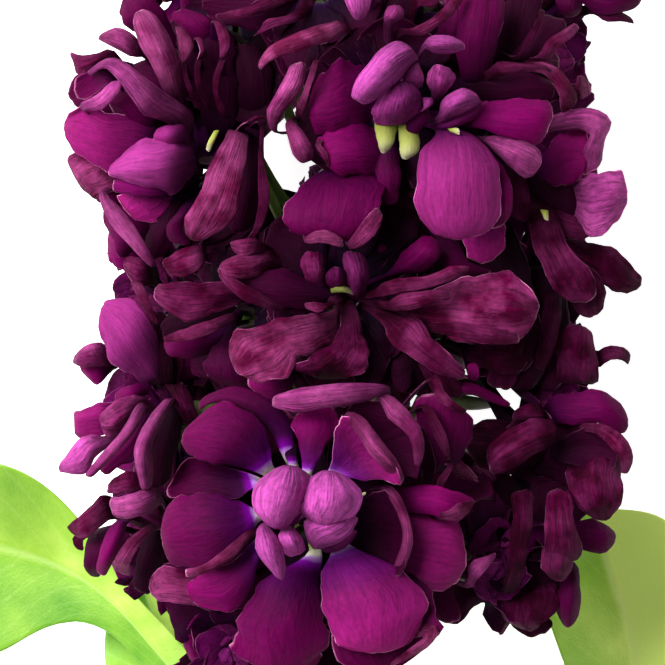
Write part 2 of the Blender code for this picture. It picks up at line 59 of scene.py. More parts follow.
# The stem's run: level through the spike, then down to the cut end
SPIKE_HEIGHT = 27.5 * MM
CUT_END_Y = -149.5 * MM
SPIKE_BASE_Y = -3.0 * MM
SPIKE_TIP_Y = 146.0 * MM
STEM_RADIUS = 3.3 * MM
STEM_TIP_RADIUS = 1.0 * MM
STEM_BEND = 1.3
STEM_POINTS = 90
STEM_SIDES = 20
STEM_LOBES = 0.02

# A pedicel leaves the stem below its floret and ends in a calyx of four sepals round the petals' claws
PEDICEL_RADIUS = 0.8 * MM
PEDICEL_DROP = 13.0 * MM
PEDICEL_BEND = 0.55
PEDICEL_POINTS = 14
PEDICEL_SIDES = 8
PEDICEL_FOOT_SWELL = 1.25
PEDICEL_TOP_SWELL = 0.5
PEDICEL_SWELLS_AT = 9
PEDICEL_SWELLS_OVER = 4
PEDICEL_SHORT_OF_THROAT = 0.6
CALYX_LENGTH = 9.0 * MM
SEPALS = 4
SEPAL_TURN = 45.0
SEPAL_THICKNESS = 0.3 * MM
SEPAL_GRID = (7, 10)
SEPAL_EDGES = (0.06, 0.03)
SEPAL_WRAP = 0.75
SEPAL_ROUND = 1.05
SEPAL_OVER_THROAT = 1.4 * MM
HEART_ABOVE_THROAT = 6.0 * MM

# How far a sepal's foot stands from the axis, how much further it bulges and how soon, how far its tip leans
# back in and the least that counts for its wrap, and its half width, in millimetres; then the part of a half
# wave that its outline follows and how full that is
SEPAL_FOOT = 1.0
SEPAL_BULGE = 1.6
SEPAL_BULGE_RISE = 1.9
SEPAL_BULGE_END = 1.45
SEPAL_TIP_IN = 0.35
SEPAL_LEAST_OUT = 0.5
SEPAL_HALF_WIDTH = 1.9
SEPAL_WAVE = (0.12, 0.98)
SEPAL_WAVE_POWER = 0.6

# Florets: turn round the stem in degrees from straight up (+ towards +X), place along Y and distance of the
# heart from the stem's axis in millimetres, lean towards the tip in degrees and size
FloretRow = namedtuple("FloretRow", "turn along reach lean size habit")
FLORETS = [FloretRow(*row) for row in (
    (-10, 28.3, 31.0, -4, 1.20, "front"), (0, 58.2, 25.0, 4, 1.05, "front"), (16, 82.5, 30.0, 2, 1.10, "front"),
    (-55, 73.8, 30.0, -4, 1.10, "front"), (-46, 93.0, 28.5, 18, 0.95, "front"), (-10, 101.0, 28.0, 12, 0.95, "front"),
    (58, 77.0, 31.5, 0, 1.05, "full"), (82, 59.5, 31.0, 0, 1.00, "full"), (64, 37.0, 31.5, -4, 1.05, "full"),
    (47, 19.5, 29.0, -12, 0.95, "full"), (-73, 40.0, 31.0, -4, 1.00, "full"), (-86, 56.5, 30.0, 4, 0.95, "full"),
    (-80, 22.5, 30.0, -10, 0.95, "full"), (-34, 8.5, 29.0, -16, 0.95, "full"), (-42, 54.5, 28.5, 0, 0.95, "front"),
    (76, 95.0, 30.0, 10, 1.00, "full"), (34, 100.0, 28.5, 16, 0.90, "front"), (37, 54.0, 28.5, 0, 0.90, "front"),
    (-96, 82.0, 29.0, 8, 0.95, "under"), (105, 76.0, 28.0, 4, 0.95, "under"), (108, 44.0, 27.0, 0, 0.95, "under"),
    (-118, 38.0, 26.0, 0, 0.90, "under"), (-125, 64.0, 25.0, 6, 0.95, "under"), (-138, 92.0, 25.0, 14, 0.95, "under"),
    (140, 28.0, 23.5, 4, 0.90, "under"), (143, 60.0, 24.0, 10, 0.95, "under"), (136, 90.0, 25.0, 14, 0.95, "under"),
    (-166, 46.0, 22.0, 14, 0.90, "under"), (-174, 76.0, 22.5, 20, 0.90, "under"),
    (-76, 108.0, 25.0, 28, 0.85, "under"), (150, 110.0, 21.0, 30, 0.80, "under"),
    (-150, 116.0, 20.0, 34, 0.75, "under"), (70, 114.0, 22.5, 32, 0.80, "under"),
    (14, 118.0, 21.5, 34, 0.80, "under"), (-50, 122.0, 19.0, 42, 0.70, "under"),
)]

# A petal: turn round the floret in degrees, length, width and foot's distance from the axis in millimetres,
# tilt from the floret's axis at the foot and at the tip in degrees, how far its edges cup towards the viewer,
# how far its left and right margins and its tip roll that way, and its twist, in degrees, ruffle in
# millimetres, and youth from 0, open and deep, to 1, folded and bright
PETAL_FIELDS = "length width foot rise spread cup roll tip twist ruffle youth"
Petal = namedtuple("Petal", "turn " + PETAL_FIELDS)

# Rings of petals from the outside in: how many, then the lowest and highest of each petal's values
Ring = namedtuple("Ring", "count " + PETAL_FIELDS)

# A floret's habit: the middle of its petals' tones, which carry painted shade as well as their own colour, the grid
# of a petal across and along, and its rings
Habit = namedtuple("Habit", "tone grid rings")
HABITS = {
    "front": Habit(0.16, (11, 14), [
        Ring(6, (14, 17), (13, 16), 1.6, (66, 74), (98, 112), (-8, 16), (-20, 50), (-30, 10), 14, 1.0, 0.0),
        Ring(6, (11, 14), (11, 14), 1.2, (56, 64), (84, 98), (-5, 20), (-20, 60), (-20, 30), 18, 0.9, 0.0),
    ]),
    "full": Habit(0.4, (13, 16), [
        Ring(5, (17, 19.5), (14, 17), 1.6, (60, 72), (94, 112), (-15, 20), (-30, 60), (-60, 10), 18, 1.3, 0.0),
        Ring(5, (15, 18), (12, 15), 1.3, (44, 56), (70, 92), (-5, 30), (-20, 80), (-30, 40), 22, 1.3, 0.1),
        Ring(5, (12.5, 15), (10, 13), 1.0, (26, 38), (45, 66), (5, 45), (0, 90), (-20, 50), 26, 1.1, 0.3),
        Ring(4, (9.5, 12), (8, 10.5), 0.8, (12, 22), (16, 36), (30, 70), (10, 80), (10, 80), 30, 0.8, 0.6),
        Ring(3, (7.5, 9), (6.5, 8), 0.5, (0, 10), (-10, 12), (50, 85), (10, 60), (50, 110), 30, 0.4, 0.9),
    ]),
    "under": Habit(0.5, (11, 13), [
        Ring(5, (17, 19), (14, 17), 1.6, (60, 72), (92, 108), (-15, 20), (-30, 50), (-50, 10), 18, 1.3, 0.0),
        Ring(5, (14, 17), (12, 15), 1.3, (40, 52), (66, 86), (-5, 30), (-10, 70), (-30, 40), 20, 1.2, 0.1),
        Ring(4, (11, 13.5), (9, 12), 1.0, (20, 32), (34, 56), (10, 50), (0, 80), (-10, 60), 24, 1.0, 0.4),
        Ring(4, (8, 10), (7, 9), 0.6, (4, 14), (0, 20), (50, 80), (10, 60), (40, 100), 30, 0.5, 0.8),
    ]),
}
PETAL_SEED = 40
PETAL_THICKNESS = 0.34 * MM
PETAL_THINNING = 0.45
TURN_SPREAD = 9.0
RING_SPREAD = 10.0
RUFFLE_SPREAD = (0.5, 1.3)
TONE_SPREAD = (0.5, 1.4)

# Shares of a petal's length where its spine is known, a little past the tip for the longest nicks
SPINE = np.linspace(0.0, 1.04, 60)
SPREAD_BY = 0.55
TIP_ROLL_FROM = 0.62

# The claw: how deep it sits, its share of the width and of the length, and where its mark ends
CLAW_SUNK = 1.5 * MM
CLAW_WIDTH = 0.13
CLAW_END = 0.14
CLAW_MARK = 0.2

# A ring's blade: how soon it is full, how round its shoulders and its tip are, and how lopsided it is
BLADE_FULL = 1.15
BLADE_FULL_SHARE = (0.2, 0.6)
BLADE_POWER = 0.9
TIP_SHARE = (0.1, 0.48)
TIP_NARROWING = 0.1
LOPSIDED = 0.12
TIP_ROUNDNESS = 0.97

# Where along a blade its tip narrows and how soon it opens past the claw, where across it the margin starts to
# roll, and where its nicks start, how they fade towards its sides and how plump a blade keeps them whole
NARROWING_FROM = 0.7
OPEN_OVER = 0.35
MARGIN_FROM = 0.5
NICKS_FROM = 0.55
NICKS_SIDE_POWER = 6
NICKS_KEPT = 3

# Waves over a blade: strength, turns across and along it in radians, which of its random starts it takes, and
# the powers of the places across and along that it grows with
Wave = namedtuple("Wave", "strength across along start wide long", defaults=(0, 0))
STARTS = 8
RUFFLES = [Wave(0.6, 2.4, 3.6, 6), Wave(0.25, 4, -8, 7), Wave(0.35, 5, 21, 7, 2), Wave(0.25, -5, 37, 0, 3),
           Wave(0.2, 9, 3, 1, 0, 3)]
TIP_RUFFLES = [Wave(0.6, 3.6, 0, 5)]
NICKS = [Wave(0.035, 3.5, 0, 1), Wave(0.02, 8, 0, 2), Wave(0.007, 17, 0, 3)]
RING_MARGIN = [Wave(0.05, 2, 9, 0), Wave(0.02, 0, 26, 1)]
TRACED_MARGIN = [Wave(0.08, 2, 9, 0), Wave(0.055, 1, 23, 1), Wave(0.03, 3, 51, 2)]

# Each side margin waves on its own along the blade; the tip waves across, from half way and more at its sides
MARGIN_RUFFLES = 9.5
MARGIN_RUFFLES_POWER = 1.6
TIP_RUFFLES_FROM = 0.5
TIP_RUFFLES_MIDDLE = 0.4

# Room between the petals of neighbouring florets, and the gaps that open between florets as seen from above:
# place in X and Y and radius in millimetres, at one level
CELL_SPREAD = 1.0 * MM
CELL_BAND = 3.5 * MM
FRONT_DEPTH = 3.0 * MM
WINDOWS = [(-8.2, 76.7, 1.8), (-8.5, 74.8, 1.3), (17.0, 43.5, 1.6), (19.4, 42.8, 1.5), (17.0, 11.0, 2.2),
           (21.4, 9.3, 2.2), (14.3, 8.9, 1.4), (-26.4, 13.7, 1.8), (-24.8, 10.2, 1.6)]
WINDOW_LEVEL = 50.0 * MM

# Lofted petals: grid, steps between rows, the ruffle in millimetres of a petal ruffled by 1 and the half width
# that takes all of it, how far the tip may be rounded, where the blade opens and how lively its margins are
TRACED_GRID = (17, 28)
TRACE_STEPS = 30
TRACE_RUFFLE = 1.2
RUFFLED_HALF = 4.5 * MM
TRACE_TIP_SHARE = 0.4
TRACE_OPEN_OVER = 0.3
TRACE_OPEN_FROM = 0.4
MARGIN_CALM = 0.4
MARGIN_LIVELY = 1.2

# Their claws: half width, the length that may run free, and how far and where a longer one dives under the petals
# above it, how near the throat it starts, and where a blade's marks start when its claw is hidden
CLAW_HALF = 0.8 * MM
CLAW_FREE = 5.0 * MM
CLAW_DIVE = 7.0 * MM
CLAW_DIVE_SHARE = 0.8
CLAW_DIVES_AT = 0.6
CLAW_FOOT = 0.1
CLAW_HIDDEN = 0.34

# Petals lofted one by one over the face of the spike: floret, tone from dark to bright, which paints the light and
# shade on the petal as well as its own colour, how far the middle rises above the margins in millimetres, rows from
# the claw's end to the tip with the left margin's x and y, the right margin's x and y and the middle's height in
# millimetres, youth, how ruffled it is, and claw: 0 where it is hidden, 0.5 where it shows and 1 where nothing else
# does. The upper face is up where left and right are so as seen from the claw, and the under face where they are
# swapped.
Traced = namedtuple("Traced", "floret tone bulge rows youth ruffle claw", defaults=(0.0, 0.3, 0.0))
TRACED = [
    Traced(1, 0.55, 1.5, [(-11.3, 33.8, -9.7, 35.1, 56), (-13.9, 34.4, -9.9, 38.6, 57.5),
        (-17.2, 35.6, -12.3, 42.2, 59), (-19.9, 36, -16.3, 43.3, 58.5), (-22, 37.9, -21.3, 39.9, 56.5)], claw=0.5),
    Traced(1, 0.42, 1, [(-8.4, 36.3, -6.8, 36.9, 55), (-10.2, 39.6, -7.1, 40.3, 56),
        (-13.3, 42.5, -9.7, 43.6, 57), (-17.3, 43.3, -14.6, 45.3, 56), (-19.8, 41.9, -19.3, 43.8, 54)], claw=0.5),
    Traced(1, 0.35, -1.5, [(-11.8, 31.9, -11.8, 33.5, 55.5), (-14.6, 30.7, -15.3, 34.8, 55),
        (-18.6, 30.4, -18.6, 35.8, 54.5), (-22, 30.2, -20.9, 35.7, 54), (-24.2, 30.3, -23, 33.5, 55)], claw=0.5),
    Traced(1, 0.55, 2.5, [(-11.5, 27.5, -12.1, 29.3, 57), (-13.1, 24.8, -14.4, 30.7, 58.5),
        (-15.8, 22.5, -17.8, 31, 59.5), (-19.8, 20.8, -21.5, 30.7, 58.5), (-22.9, 21.7, -23.7, 29.1, 57),
        (-24.4, 23.9, -24.6, 27, 55)], claw=0.5),
    Traced(1, 0.79, 0.4, [(-12.8, 26.5, -12.3, 25.4, 58), (-16, 23.9, -15.2, 22.6, 59.5),
        (-18.8, 21.9, -18.5, 20.9, 59.5), (-21.3, 21.2, -21, 20.1, 58)], ruffle=0.2),
    Traced(1, 0.77, 1.5, [(-11.1, 23.6, -11.9, 25.2, 54.5), (-12.4, 19.1, -14.5, 22.4, 56),
        (-14.2, 15.5, -17.9, 20.8, 56.5), (-17.7, 15.7, -20.6, 19.7, 55.5),
        (-20.4, 16.4, -21.4, 18.3, 54)], claw=0.5),
    Traced(1, 0.66, 0.75, [(-18, 20.9, -16.7, 15.5, 53), (-21.7, 20.8, -20, 16.2, 54),
        (-24.6, 21.2, -23.1, 16.5, 53.5), (-26.6, 19.1, -25.8, 16.9, 51)]),
    Traced(1, 0.61, 2.5, [(-3.1, 22.8, -5.2, 22.8, 54), (-3, 18.5, -11, 19.5, 57), (-2.8, 14.6, -13.9, 15.9, 58),
        (-2.8, 10.6, -14.7, 11.9, 57), (-3.4, 6.1, -13.3, 7.1, 54)], claw=0.5),
    Traced(1, 1.08, 3, [(0.6, 24.4, -1.8, 23.5, 56.5), (6.1, 22, -3.5, 19.7, 60), (9.5, 19.1, -3.3, 16.7, 61.5),
        (10.4, 15.6, -1.9, 12.7, 61), (9.1, 12.1, 0.3, 10.9, 59.5), (6.5, 10.4, 3.5, 10, 58)], ruffle=0.15, claw=0.5),
    Traced(1, 0.46, -1, [(7.3, 22.2, -0, 22.2, 53), (10.4, 18.6, -1.4, 17, 55), (12, 15.5, -1.4, 11.8, 56),
        (12.7, 13.1, -0, 8.9, 56), (10.4, 10.4, 1.9, 6.9, 55), (7.3, 7.9, 4.6, 5.8, 54)]),
    Traced(1, 0.94, 0.3, [(8.5, 12.5, 9.9, 14.5, 56.5), (10.5, 12.5, 12.5, 13.5, 58),
        (8.5, 10.9, 10.9, 11.1, 57.5), (5.3, 8, 7.8, 8.8, 55)], ruffle=0.4),
    Traced(1, 0.22, -2.5, [(-0.7, 25, -0.7, 23.4, 56), (1.4, 28.9, 1.7, 20.7, 54.5), (4.1, 31.6, 4.9, 19.9, 55),
        (6.7, 30.7, 7.2, 20.9, 57.5), (8.2, 27.9, 8.5, 23.7, 60)], claw=0.5),
    Traced(1, 0.72, 0.8, [(4.6, 31.7, 5.6, 32.3, 56.5), (6.3, 29.8, 7.4, 30.5, 59.5), (7.3, 27.3, 8.6, 27.3, 61),
        (7.4, 24.7, 8.7, 24.3, 61), (6.1, 20.7, 7.7, 20.7, 58)], youth=0.1),
    Traced(1, 0.9, 2.5, [(3.6, 27.5, 3.6, 22.2, 53), (7.5, 28.8, 7.3, 19.9, 55), (11.5, 28.7, 10.9, 18.2, 56),
        (14.5, 27.5, 13.9, 18.2, 55), (16.3, 24.6, 16.1, 20.3, 53)], ruffle=0.15),
    Traced(1, 0.77, 1, [(5.3, 31.6, 5.3, 28.2, 54), (8.8, 32, 8.8, 28.5, 55.5), (12.5, 32.1, 12.5, 28, 57),
        (15.4, 31.3, 14.5, 27.4, 56), (17.5, 30.2, 16.3, 28.4, 54)]),
    Traced(1, 0.66, 0.25, [(13.3, 27.7, 12.8, 28.8, 57), (15.1, 27.6, 14.9, 30.1, 57.5),
        (16.8, 29.2, 17.3, 30.3, 55)]),
    Traced(1, 0.86, -1, [(-2.3, 34.3, 0.1, 33.3, 56.5), (-1.5, 37.7, 3, 32.8, 57.5),
        (-0.4, 41.2, 6.1, 32.8, 58.5), (2.2, 40.3, 7.2, 32.6, 59.5), (5.1, 37.6, 7.7, 33.1, 60)], claw=0.5),
    Traced(1, 0.76, 1.2, [(-0.2, 41, 0.1, 41.9, 58), (1.4, 39.2, 2.4, 41.2, 61), (3.2, 36.6, 4.5, 38.4, 62),
        (5.2, 34.4, 6.4, 36.2, 61), (7.1, 32.1, 7.9, 33.1, 58)], youth=0.1),
    Traced(1, 0.8, 1, [(4, 43.5, 4.8, 44.1, 57), (5.8, 41.3, 7.4, 43.2, 60), (8.2, 39.2, 9.6, 40.5, 61.5),
        (8.8, 37.4, 10.3, 37.6, 61), (9.3, 34.6, 9.7, 34.3, 57)], youth=0.15),
    Traced(1, 0.22, -1, [(-0, 36.2, 2, 33.6, 54), (-0, 42, 6.6, 33.2, 55), (3.9, 43.3, 8.8, 33, 56),
        (7.2, 42.9, 9.6, 34.3, 57), (9.6, 39.6, 9.8, 37, 58)]),
    Traced(1, 0.88, 1.5, [(5.9, 44.9, 5.9, 44.4, 57), (3, 45.9, 2.6, 43.4, 60), (-1, 45.6, -1, 42.7, 61),
        (-6, 45.1, -5.7, 41.9, 60.5), (-9.7, 44, -9.9, 42.8, 58)], youth=0.3, ruffle=0.5),
    Traced(1, 0.73, 1, [(-5.7, 34.3, -4.4, 34.1, 57), (-6.1, 37.5, -2.7, 37, 57), (-6.9, 40.4, -1, 40.1, 56.5),
        (-7.1, 43, -0.4, 43, 55)], claw=0.5),
    Traced(1, 0.22, 1, [(-7.6, 35.3, -6.4, 35.3, 55), (-8.9, 38.2, -6.5, 38.2, 55),
        (-10, 41.5, -7.3, 41.5, 54)], claw=0.5),
    Traced(1, 0.46, 1, [(10, 34.2, 14.6, 34.7, 52), (9.7, 39.5, 16.9, 38.2, 53), (9.9, 43.5, 17.2, 41.1, 54),
        (11.5, 45.5, 15.5, 42.5, 54)]),
    Traced(1, 0.64, 0.25, [(10.9, 46.2, 11.7, 46.7, 54), (12, 43.8, 13.2, 44.6, 56), (13.9, 42.5, 14.9, 43, 56),
        (15.8, 41.5, 16.3, 42.1, 54)]),
    Traced(1, 0.53, 0.25, [(9.5, 42.5, 10.3, 42.9, 54), (10.9, 40.4, 12.3, 40.9, 56), (12.3, 37.7, 13.6, 38, 56),
        (13.5, 35.4, 14, 35.6, 54)]),
    Traced(1, 0.64, 0.15, [(13.4, 35, 14.2, 35, 53), (12.3, 33.2, 13.5, 33.2, 54), (12.1, 31.7, 12.8, 31.5, 52)]),
    Traced(1, 0.85, 0.5, [(16.2, 18.3, 15.7, 19.1, 50), (17.7, 19.5, 16.6, 21.7, 52),
        (19.1, 21.2, 18.5, 22.5, 52), (20.3, 22.7, 20.2, 23.1, 50)], youth=0.3, ruffle=0.1),
    Traced(1, 0.44, 1, [(12.8, 20.4, 10.1, 17.7, 46), (14.8, 16.4, 11.4, 14.8, 47), (15.8, 13.4, 13.4, 12.9, 46)]),
    Traced(1, 0.95, 6, [(-7.7, 35.2, -6.4, 35, 65.5), (-11, 33.5, -4.3, 33.5, 69),
        (-12.1, 30.9, -4.6, 30.9, 69.5), (-11.6, 28.8, -6.4, 28.5, 68),
        (-9.6, 26.9, -8.1, 26.8, 64.5)], youth=1, ruffle=0.1),
    Traced(1, 1, 5.5, [(-2.8, 34.5, -1.5, 34.4, 65.5), (-5.1, 33.1, 1.3, 33, 69), (-5.9, 31, 2, 30.6, 70.5),
        (-6.1, 29.2, 0.8, 28.3, 68.5), (-4.1, 27.5, -1.5, 27, 65.5)], youth=1, ruffle=0.1),
    Traced(1, 0.92, 3, [(-4.1, 24.2, -4.9, 25.3, 61.5), (-1.4, 24.9, -5.4, 27.9, 65.5),
        (0.8, 26.7, -2.7, 28.2, 66.5), (1.8, 28.3, 0.6, 29.1, 63.5)], youth=1, ruffle=0.1),
    Traced(1, 0.85, 1, [(-3.4, 24.4, -2.7, 23.5, 57), (-0.7, 25.1, -0.1, 24.1, 58),
        (1.1, 26.6, 1.7, 26.1, 56)], youth=0.5, ruffle=0.1),
    Traced(1, 0.98, 3, [(-11.2, 27.2, -10.1, 27.5, 62.5), (-11.8, 25.6, -8.9, 25.8, 65.5),
        (-11.6, 24, -8.1, 23.8, 66), (-10.3, 22.1, -7.7, 21.6, 64.5),
        (-8.7, 20.2, -8.3, 20, 61.5)], youth=1, ruffle=0.1),
    Traced(1, 1.1, 3, [(-8.5, 26.5, -6.7, 27, 63.5), (-8.6, 25.3, -5.5, 25.6, 66),
        (-7.6, 23, -5.3, 23.6, 62.5)], youth=1, ruffle=0.1),
    Traced(1, 0.45, 1, [(-7.2, 29.6, -5.9, 30.1, 63.5), (-8, 28.1, -5.8, 28.8, 65),
        (-8, 27.2, -6.5, 27.3, 63.5)], youth=1, ruffle=0.1),
    Traced(1, 0.7, 0.2, [(1.5, 30.9, 1.5, 30.5, 57), (2.7, 31.4, 2.7, 31.2, 57)], ruffle=0, claw=1),
    Traced(2, 0.74, 1.25, [(-2.8, 55.2, -1.1, 51.5, 50), (-6.6, 54.6, -3.6, 49.9, 53.5),
        (-11, 53.5, -6.5, 49, 55.5), (-14.5, 53.1, -8.1, 46.9, 56), (-15.7, 50.7, -11.1, 45.7, 55),
        (-15.5, 48, -13.2, 46.2, 54)], ruffle=0.7),
    Traced(2, 0.36, -0.75, [(-0.7, 53.5, 2, 54.2, 50), (-2, 50.8, 3, 50.8, 53), (-4.4, 49.5, 3, 48.6, 54),
        (-7.1, 48, 0.9, 46.6, 53.5), (-5.2, 46.7, -2, 46, 52)], ruffle=0.9),
    Traced(2, 0.82, 1, [(-7.4, 45, -8.2, 47.2, 49), (-9.8, 43.5, -11.1, 46.7, 50), (-12.1, 43.7, -13.7, 46.7, 49)]),
    Traced(2, 0.64, 0.6, [(3.6, 57.1, 3.6, 58.1, 50), (6.2, 57.5, 6.2, 59.6, 53.5), (10.6, 58.4, 10.6, 60, 55),
        (13.9, 59.3, 14.1, 61.2, 55), (16.3, 60.5, 16.6, 61.3, 53.5)], ruffle=0.5),
    Traced(2, 0.62, 0.75, [(6, 55.5, 5.5, 56.7, 51), (8.6, 55.4, 7.5, 57.6, 54), (11.5, 56.4, 10.6, 58, 55.5),
        (14.4, 57.2, 13.4, 58.3, 54)]),
    Traced(2, 0.64, 1.5, [(7.4, 54.5, 7.4, 56.9, 47), (11.6, 52.8, 12.7, 59, 50), (16.6, 51.4, 17.9, 60.2, 53),
        (21.9, 50.8, 22.6, 59.8, 53), (25.8, 53.5, 26.2, 57.4, 50.5)], ruffle=1),
    Traced(2, 0.54, 0.4, [(10.7, 52.8, 10.7, 53.9, 51), (15.3, 51.8, 15.3, 53.9, 53),
        (19.9, 50.8, 19.9, 53.1, 53), (23.4, 51.1, 23.4, 52.2, 51)], ruffle=0.7),
    Traced(2, 0.5, 0.75, [(4.7, 53.9, 7.1, 54.8, 50), (5.7, 51.5, 10.5, 53.9, 53), (8.9, 49.2, 12, 51.5, 54.5),
        (12.6, 47.1, 14.2, 49.4, 54), (15.6, 46, 16.2, 47, 52.5)], ruffle=0.7),
    Traced(2, 0.66, 0.25, [(16.2, 46.4, 17.3, 46.1, 50), (16.3, 47.9, 17.9, 47.5, 51), (17, 48.5, 17.5, 48.5, 50)]),
    Traced(2, 0.58, 1.5, [(5.8, 60.6, 7.1, 60.4, 48), (7.1, 62.7, 10.7, 60.9, 50.5), (9.2, 64.6, 12.6, 62.4, 52),
        (11.4, 65.6, 12.8, 64.5, 50)]),
    Traced(3, 1.15, 1, [(20.7, 68.2, 15.6, 65.5, 51), (21.5, 64.9, 15.9, 63.5, 51), (21.2, 62.5, 17, 61.3, 49)]),
    Traced(2, 0.6, 2.5, [(2.3, 57.4, 0.6, 57.7, 50), (3.2, 60.5, -0, 60.5, 53.5),
        (2, 63.6, -0.7, 63.2, 53.5)], youth=0.4, ruffle=0.1),
    Traced(2, 0.3, 2.5, [(0.1, 57.7, -1.5, 57.9, 49), (0.5, 59.5, -2.6, 59.8, 52.5),
        (-0.4, 61.2, -1.8, 61.4, 53)], youth=0.4, ruffle=0.1),
    Traced(2, 0.52, 2, [(-2.4, 57.9, -3.9, 57.9, 48), (-2.7, 60.9, -5.8, 60.6, 51),
        (-2.6, 63.6, -6.1, 63.3, 50)], youth=0.1),
    Traced(2, 0.3, 0.2, [(-2, 58.3, -1.9, 57.8, 51), (-0.4, 58.7, -0.2, 57.9, 51),
        (0.9, 58.2, 1.2, 57.5, 50)], ruffle=0, claw=1),
    Traced(2, 0.25, 1, [(-2, 56.9, -2.7, 58.5, 49), (-7.4, 55.6, -7.4, 60.6, 51),
        (-12.1, 56.6, -12.1, 60.8, 51.5), (-15.7, 58.9, -16.1, 61.1, 50)]),
    Traced(2, 0.55, 0.5, [(-9.3, 56.7, -8.5, 55.4, 51), (-11.9, 58.2, -11.9, 56.2, 53.5),
        (-14.3, 59.5, -14.7, 57.7, 54), (-17, 61.8, -17, 59.8, 52)], ruffle=0.5),
    Traced(2, 0.72, 1, [(-10.3, 63.6, -9.8, 61.1, 50), (-12.7, 63.2, -12.4, 59.9, 53),
        (-15.1, 62.7, -15.1, 59.7, 54), (-16.8, 61.6, -16.8, 60.6, 52)]),
    Traced(2, 0.62, 0.5, [(-11.6, 64.8, -11.6, 63, 52), (-13.6, 65, -13.6, 62.6, 53),
        (-15.5, 64.7, -15.3, 63.8, 51)]),
    Traced(2, 0.66, 0.25, [(-2.6, 56.4, -1.9, 56, 52), (-3.9, 56.6, -3.6, 55.2, 53), (-5.5, 56.4, -5.4, 55.8, 51)]),
    Traced(2, 0.12, 1, [(0.9, 52.8, 8.8, 54.2, 44), (5.4, 47.4, 12.8, 50.1, 45), (8.8, 43.3, 14.2, 45.4, 44)]),
    Traced(2, 0.5, 1, [(3.1, 58.3, 7.5, 60.3, 44), (3.6, 63.6, 7.7, 64.3, 46), (5.3, 69.1, 8.5, 68.4, 45)]),
    Traced(2, 0.08, 1, [(14.3, 61, 14.3, 50.1, 43), (21, 61, 21, 48.8, 45), (27.1, 56.9, 26.4, 46.1, 44)]),
    Traced(3, 0.52, 1.5, [(3.6, 74.2, -4.4, 73.4, 52), (4.9, 71.4, -6.5, 71.4, 55.5), (5, 68.4, -7.6, 68.2, 57),
        (3.8, 65.3, -7.6, 65.9, 56.5), (1.7, 64, -4.4, 64.8, 54.5)]),
    Traced(3, 0.85, 0.25, [(-5.3, 64.7, -5.6, 65.3, 56), (-2.7, 64.3, -3.1, 66.1, 58),
        (-0, 63.7, -0.4, 65.2, 57)], ruffle=0.4),
    Traced(3, 0.62, 0.25, [(0.6, 63.8, -0, 64.3, 56), (3.5, 64.7, 2.2, 67.1, 57.5),
        (5.1, 68, 4.3, 69.4, 56.5)], ruffle=0.4),
    Traced(3, 0.9, 3, [(16.2, 79, 12, 79, 56), (19.2, 76.5, 10.3, 76.5, 60), (20.5, 73.5, 9.4, 72.7, 61.5),
        (20.8, 70.1, 9.1, 69.3, 61), (19.3, 66.5, 10.5, 66.2, 59.5),
        (16.7, 64.7, 13.3, 64.7, 57.5)], youth=0.15, ruffle=0.12),
    Traced(3, 0.62, 1, [(19.2, 76.7, 16.5, 75.4, 55), (21.2, 73.7, 17.8, 71.3, 57), (22.1, 69.6, 18.4, 68.7, 57),
        (21.3, 66.8, 18.9, 65.8, 55)]),
    Traced(3, 0.95, 5, [(7.8, 90.6, 9.7, 88.5, 60), (5.1, 90.1, 7.7, 86.2, 64), (2.6, 87.1, 5.5, 84.3, 66),
        (1.1, 85.3, 3.8, 83, 65), (0.7, 83.2, 2.2, 82.4, 61)], youth=1, ruffle=0.15),
    Traced(3, 0.66, 4.5, [(6.1, 85.1, 8.5, 85.6, 60), (4.5, 83.4, 9.7, 83.9, 63), (3.2, 81.3, 9.9, 82.1, 62.5),
        (4.6, 79.5, 8.3, 80, 58)], youth=0.75, ruffle=0.15),
    Traced(3, 0.8, 1, [(7.7, 86.8, 9.3, 88.1, 59), (7.4, 85.6, 10.3, 85.9, 60),
        (7.7, 84.7, 9.8, 84.5, 58)], youth=0.5, ruffle=0.1),
    Traced(3, 0.85, 3, [(10.4, 89.6, 10.4, 90.6, 60), (11.8, 89.1, 11.5, 91.3, 63), (13.9, 89.1, 13.6, 91.4, 63),
        (15.8, 89.8, 15.6, 90.6, 60)], youth=0.85, ruffle=0.1),
    Traced(3, 0.76, 2, [(12.5, 83.5, 11.4, 83.7, 57), (14.1, 85.1, 10.7, 85.6, 61),
        (15, 87.2, 10.7, 88, 60)], youth=0.5, ruffle=0.15),
    Traced(3, 0.86, 3.5, [(12.5, 80.2, 12.1, 81.1, 57), (14.5, 81, 12.9, 83.2, 61.5), (16.3, 81.9, 15, 84.7, 62),
        (18, 82.9, 17.2, 84.2, 58)], youth=0.8, ruffle=0.15),
    Traced(3, 0.75, 1, [(13.2, 80.3, 13.2, 79.5, 57), (15.8, 81.9, 16.4, 80.3, 57.5),
        (18.9, 83.3, 19.1, 82.5, 56)], youth=0.2),
    Traced(3, 0.35, 1, [(7.5, 79.5, 8.8, 78.2, 57), (9, 81.6, 10.6, 79.9, 58),
        (10.9, 82.6, 11.2, 81.6, 57)], youth=0.3),
    Traced(3, 0.9, 1, [(11.4, 83.3, 9.8, 83.3, 59), (11.4, 82.5, 10.3, 82, 60),
        (9.8, 81.6, 9.3, 81.3, 58)], youth=0.6),
    Traced(3, 0.45, 1, [(7, 80.3, 3.8, 80.3, 57), (6.3, 77.5, 4.3, 77.5, 58),
        (5.1, 76.1, 4.8, 76.2, 57)], ruffle=0, claw=1),
    Traced(3, 0.5, 1, [(9.6, 80, 7, 80, 57), (9.7, 76.7, 7.2, 76.6, 58), (8, 75.3, 7.6, 75.4, 57)], ruffle=0, claw=1),
    Traced(3, 0.8, 0.3, [(13.5, 79.3, 13.8, 79.1, 58), (15, 79.5, 15.2, 78.5, 58)], ruffle=0, claw=1),
    Traced(3, 0.93, 0.75, [(-0.2, 93.9, 0.6, 92.5, 53), (-3.1, 93.3, -1.8, 91.3, 56), (-6.2, 92, -5.3, 89.7, 58),
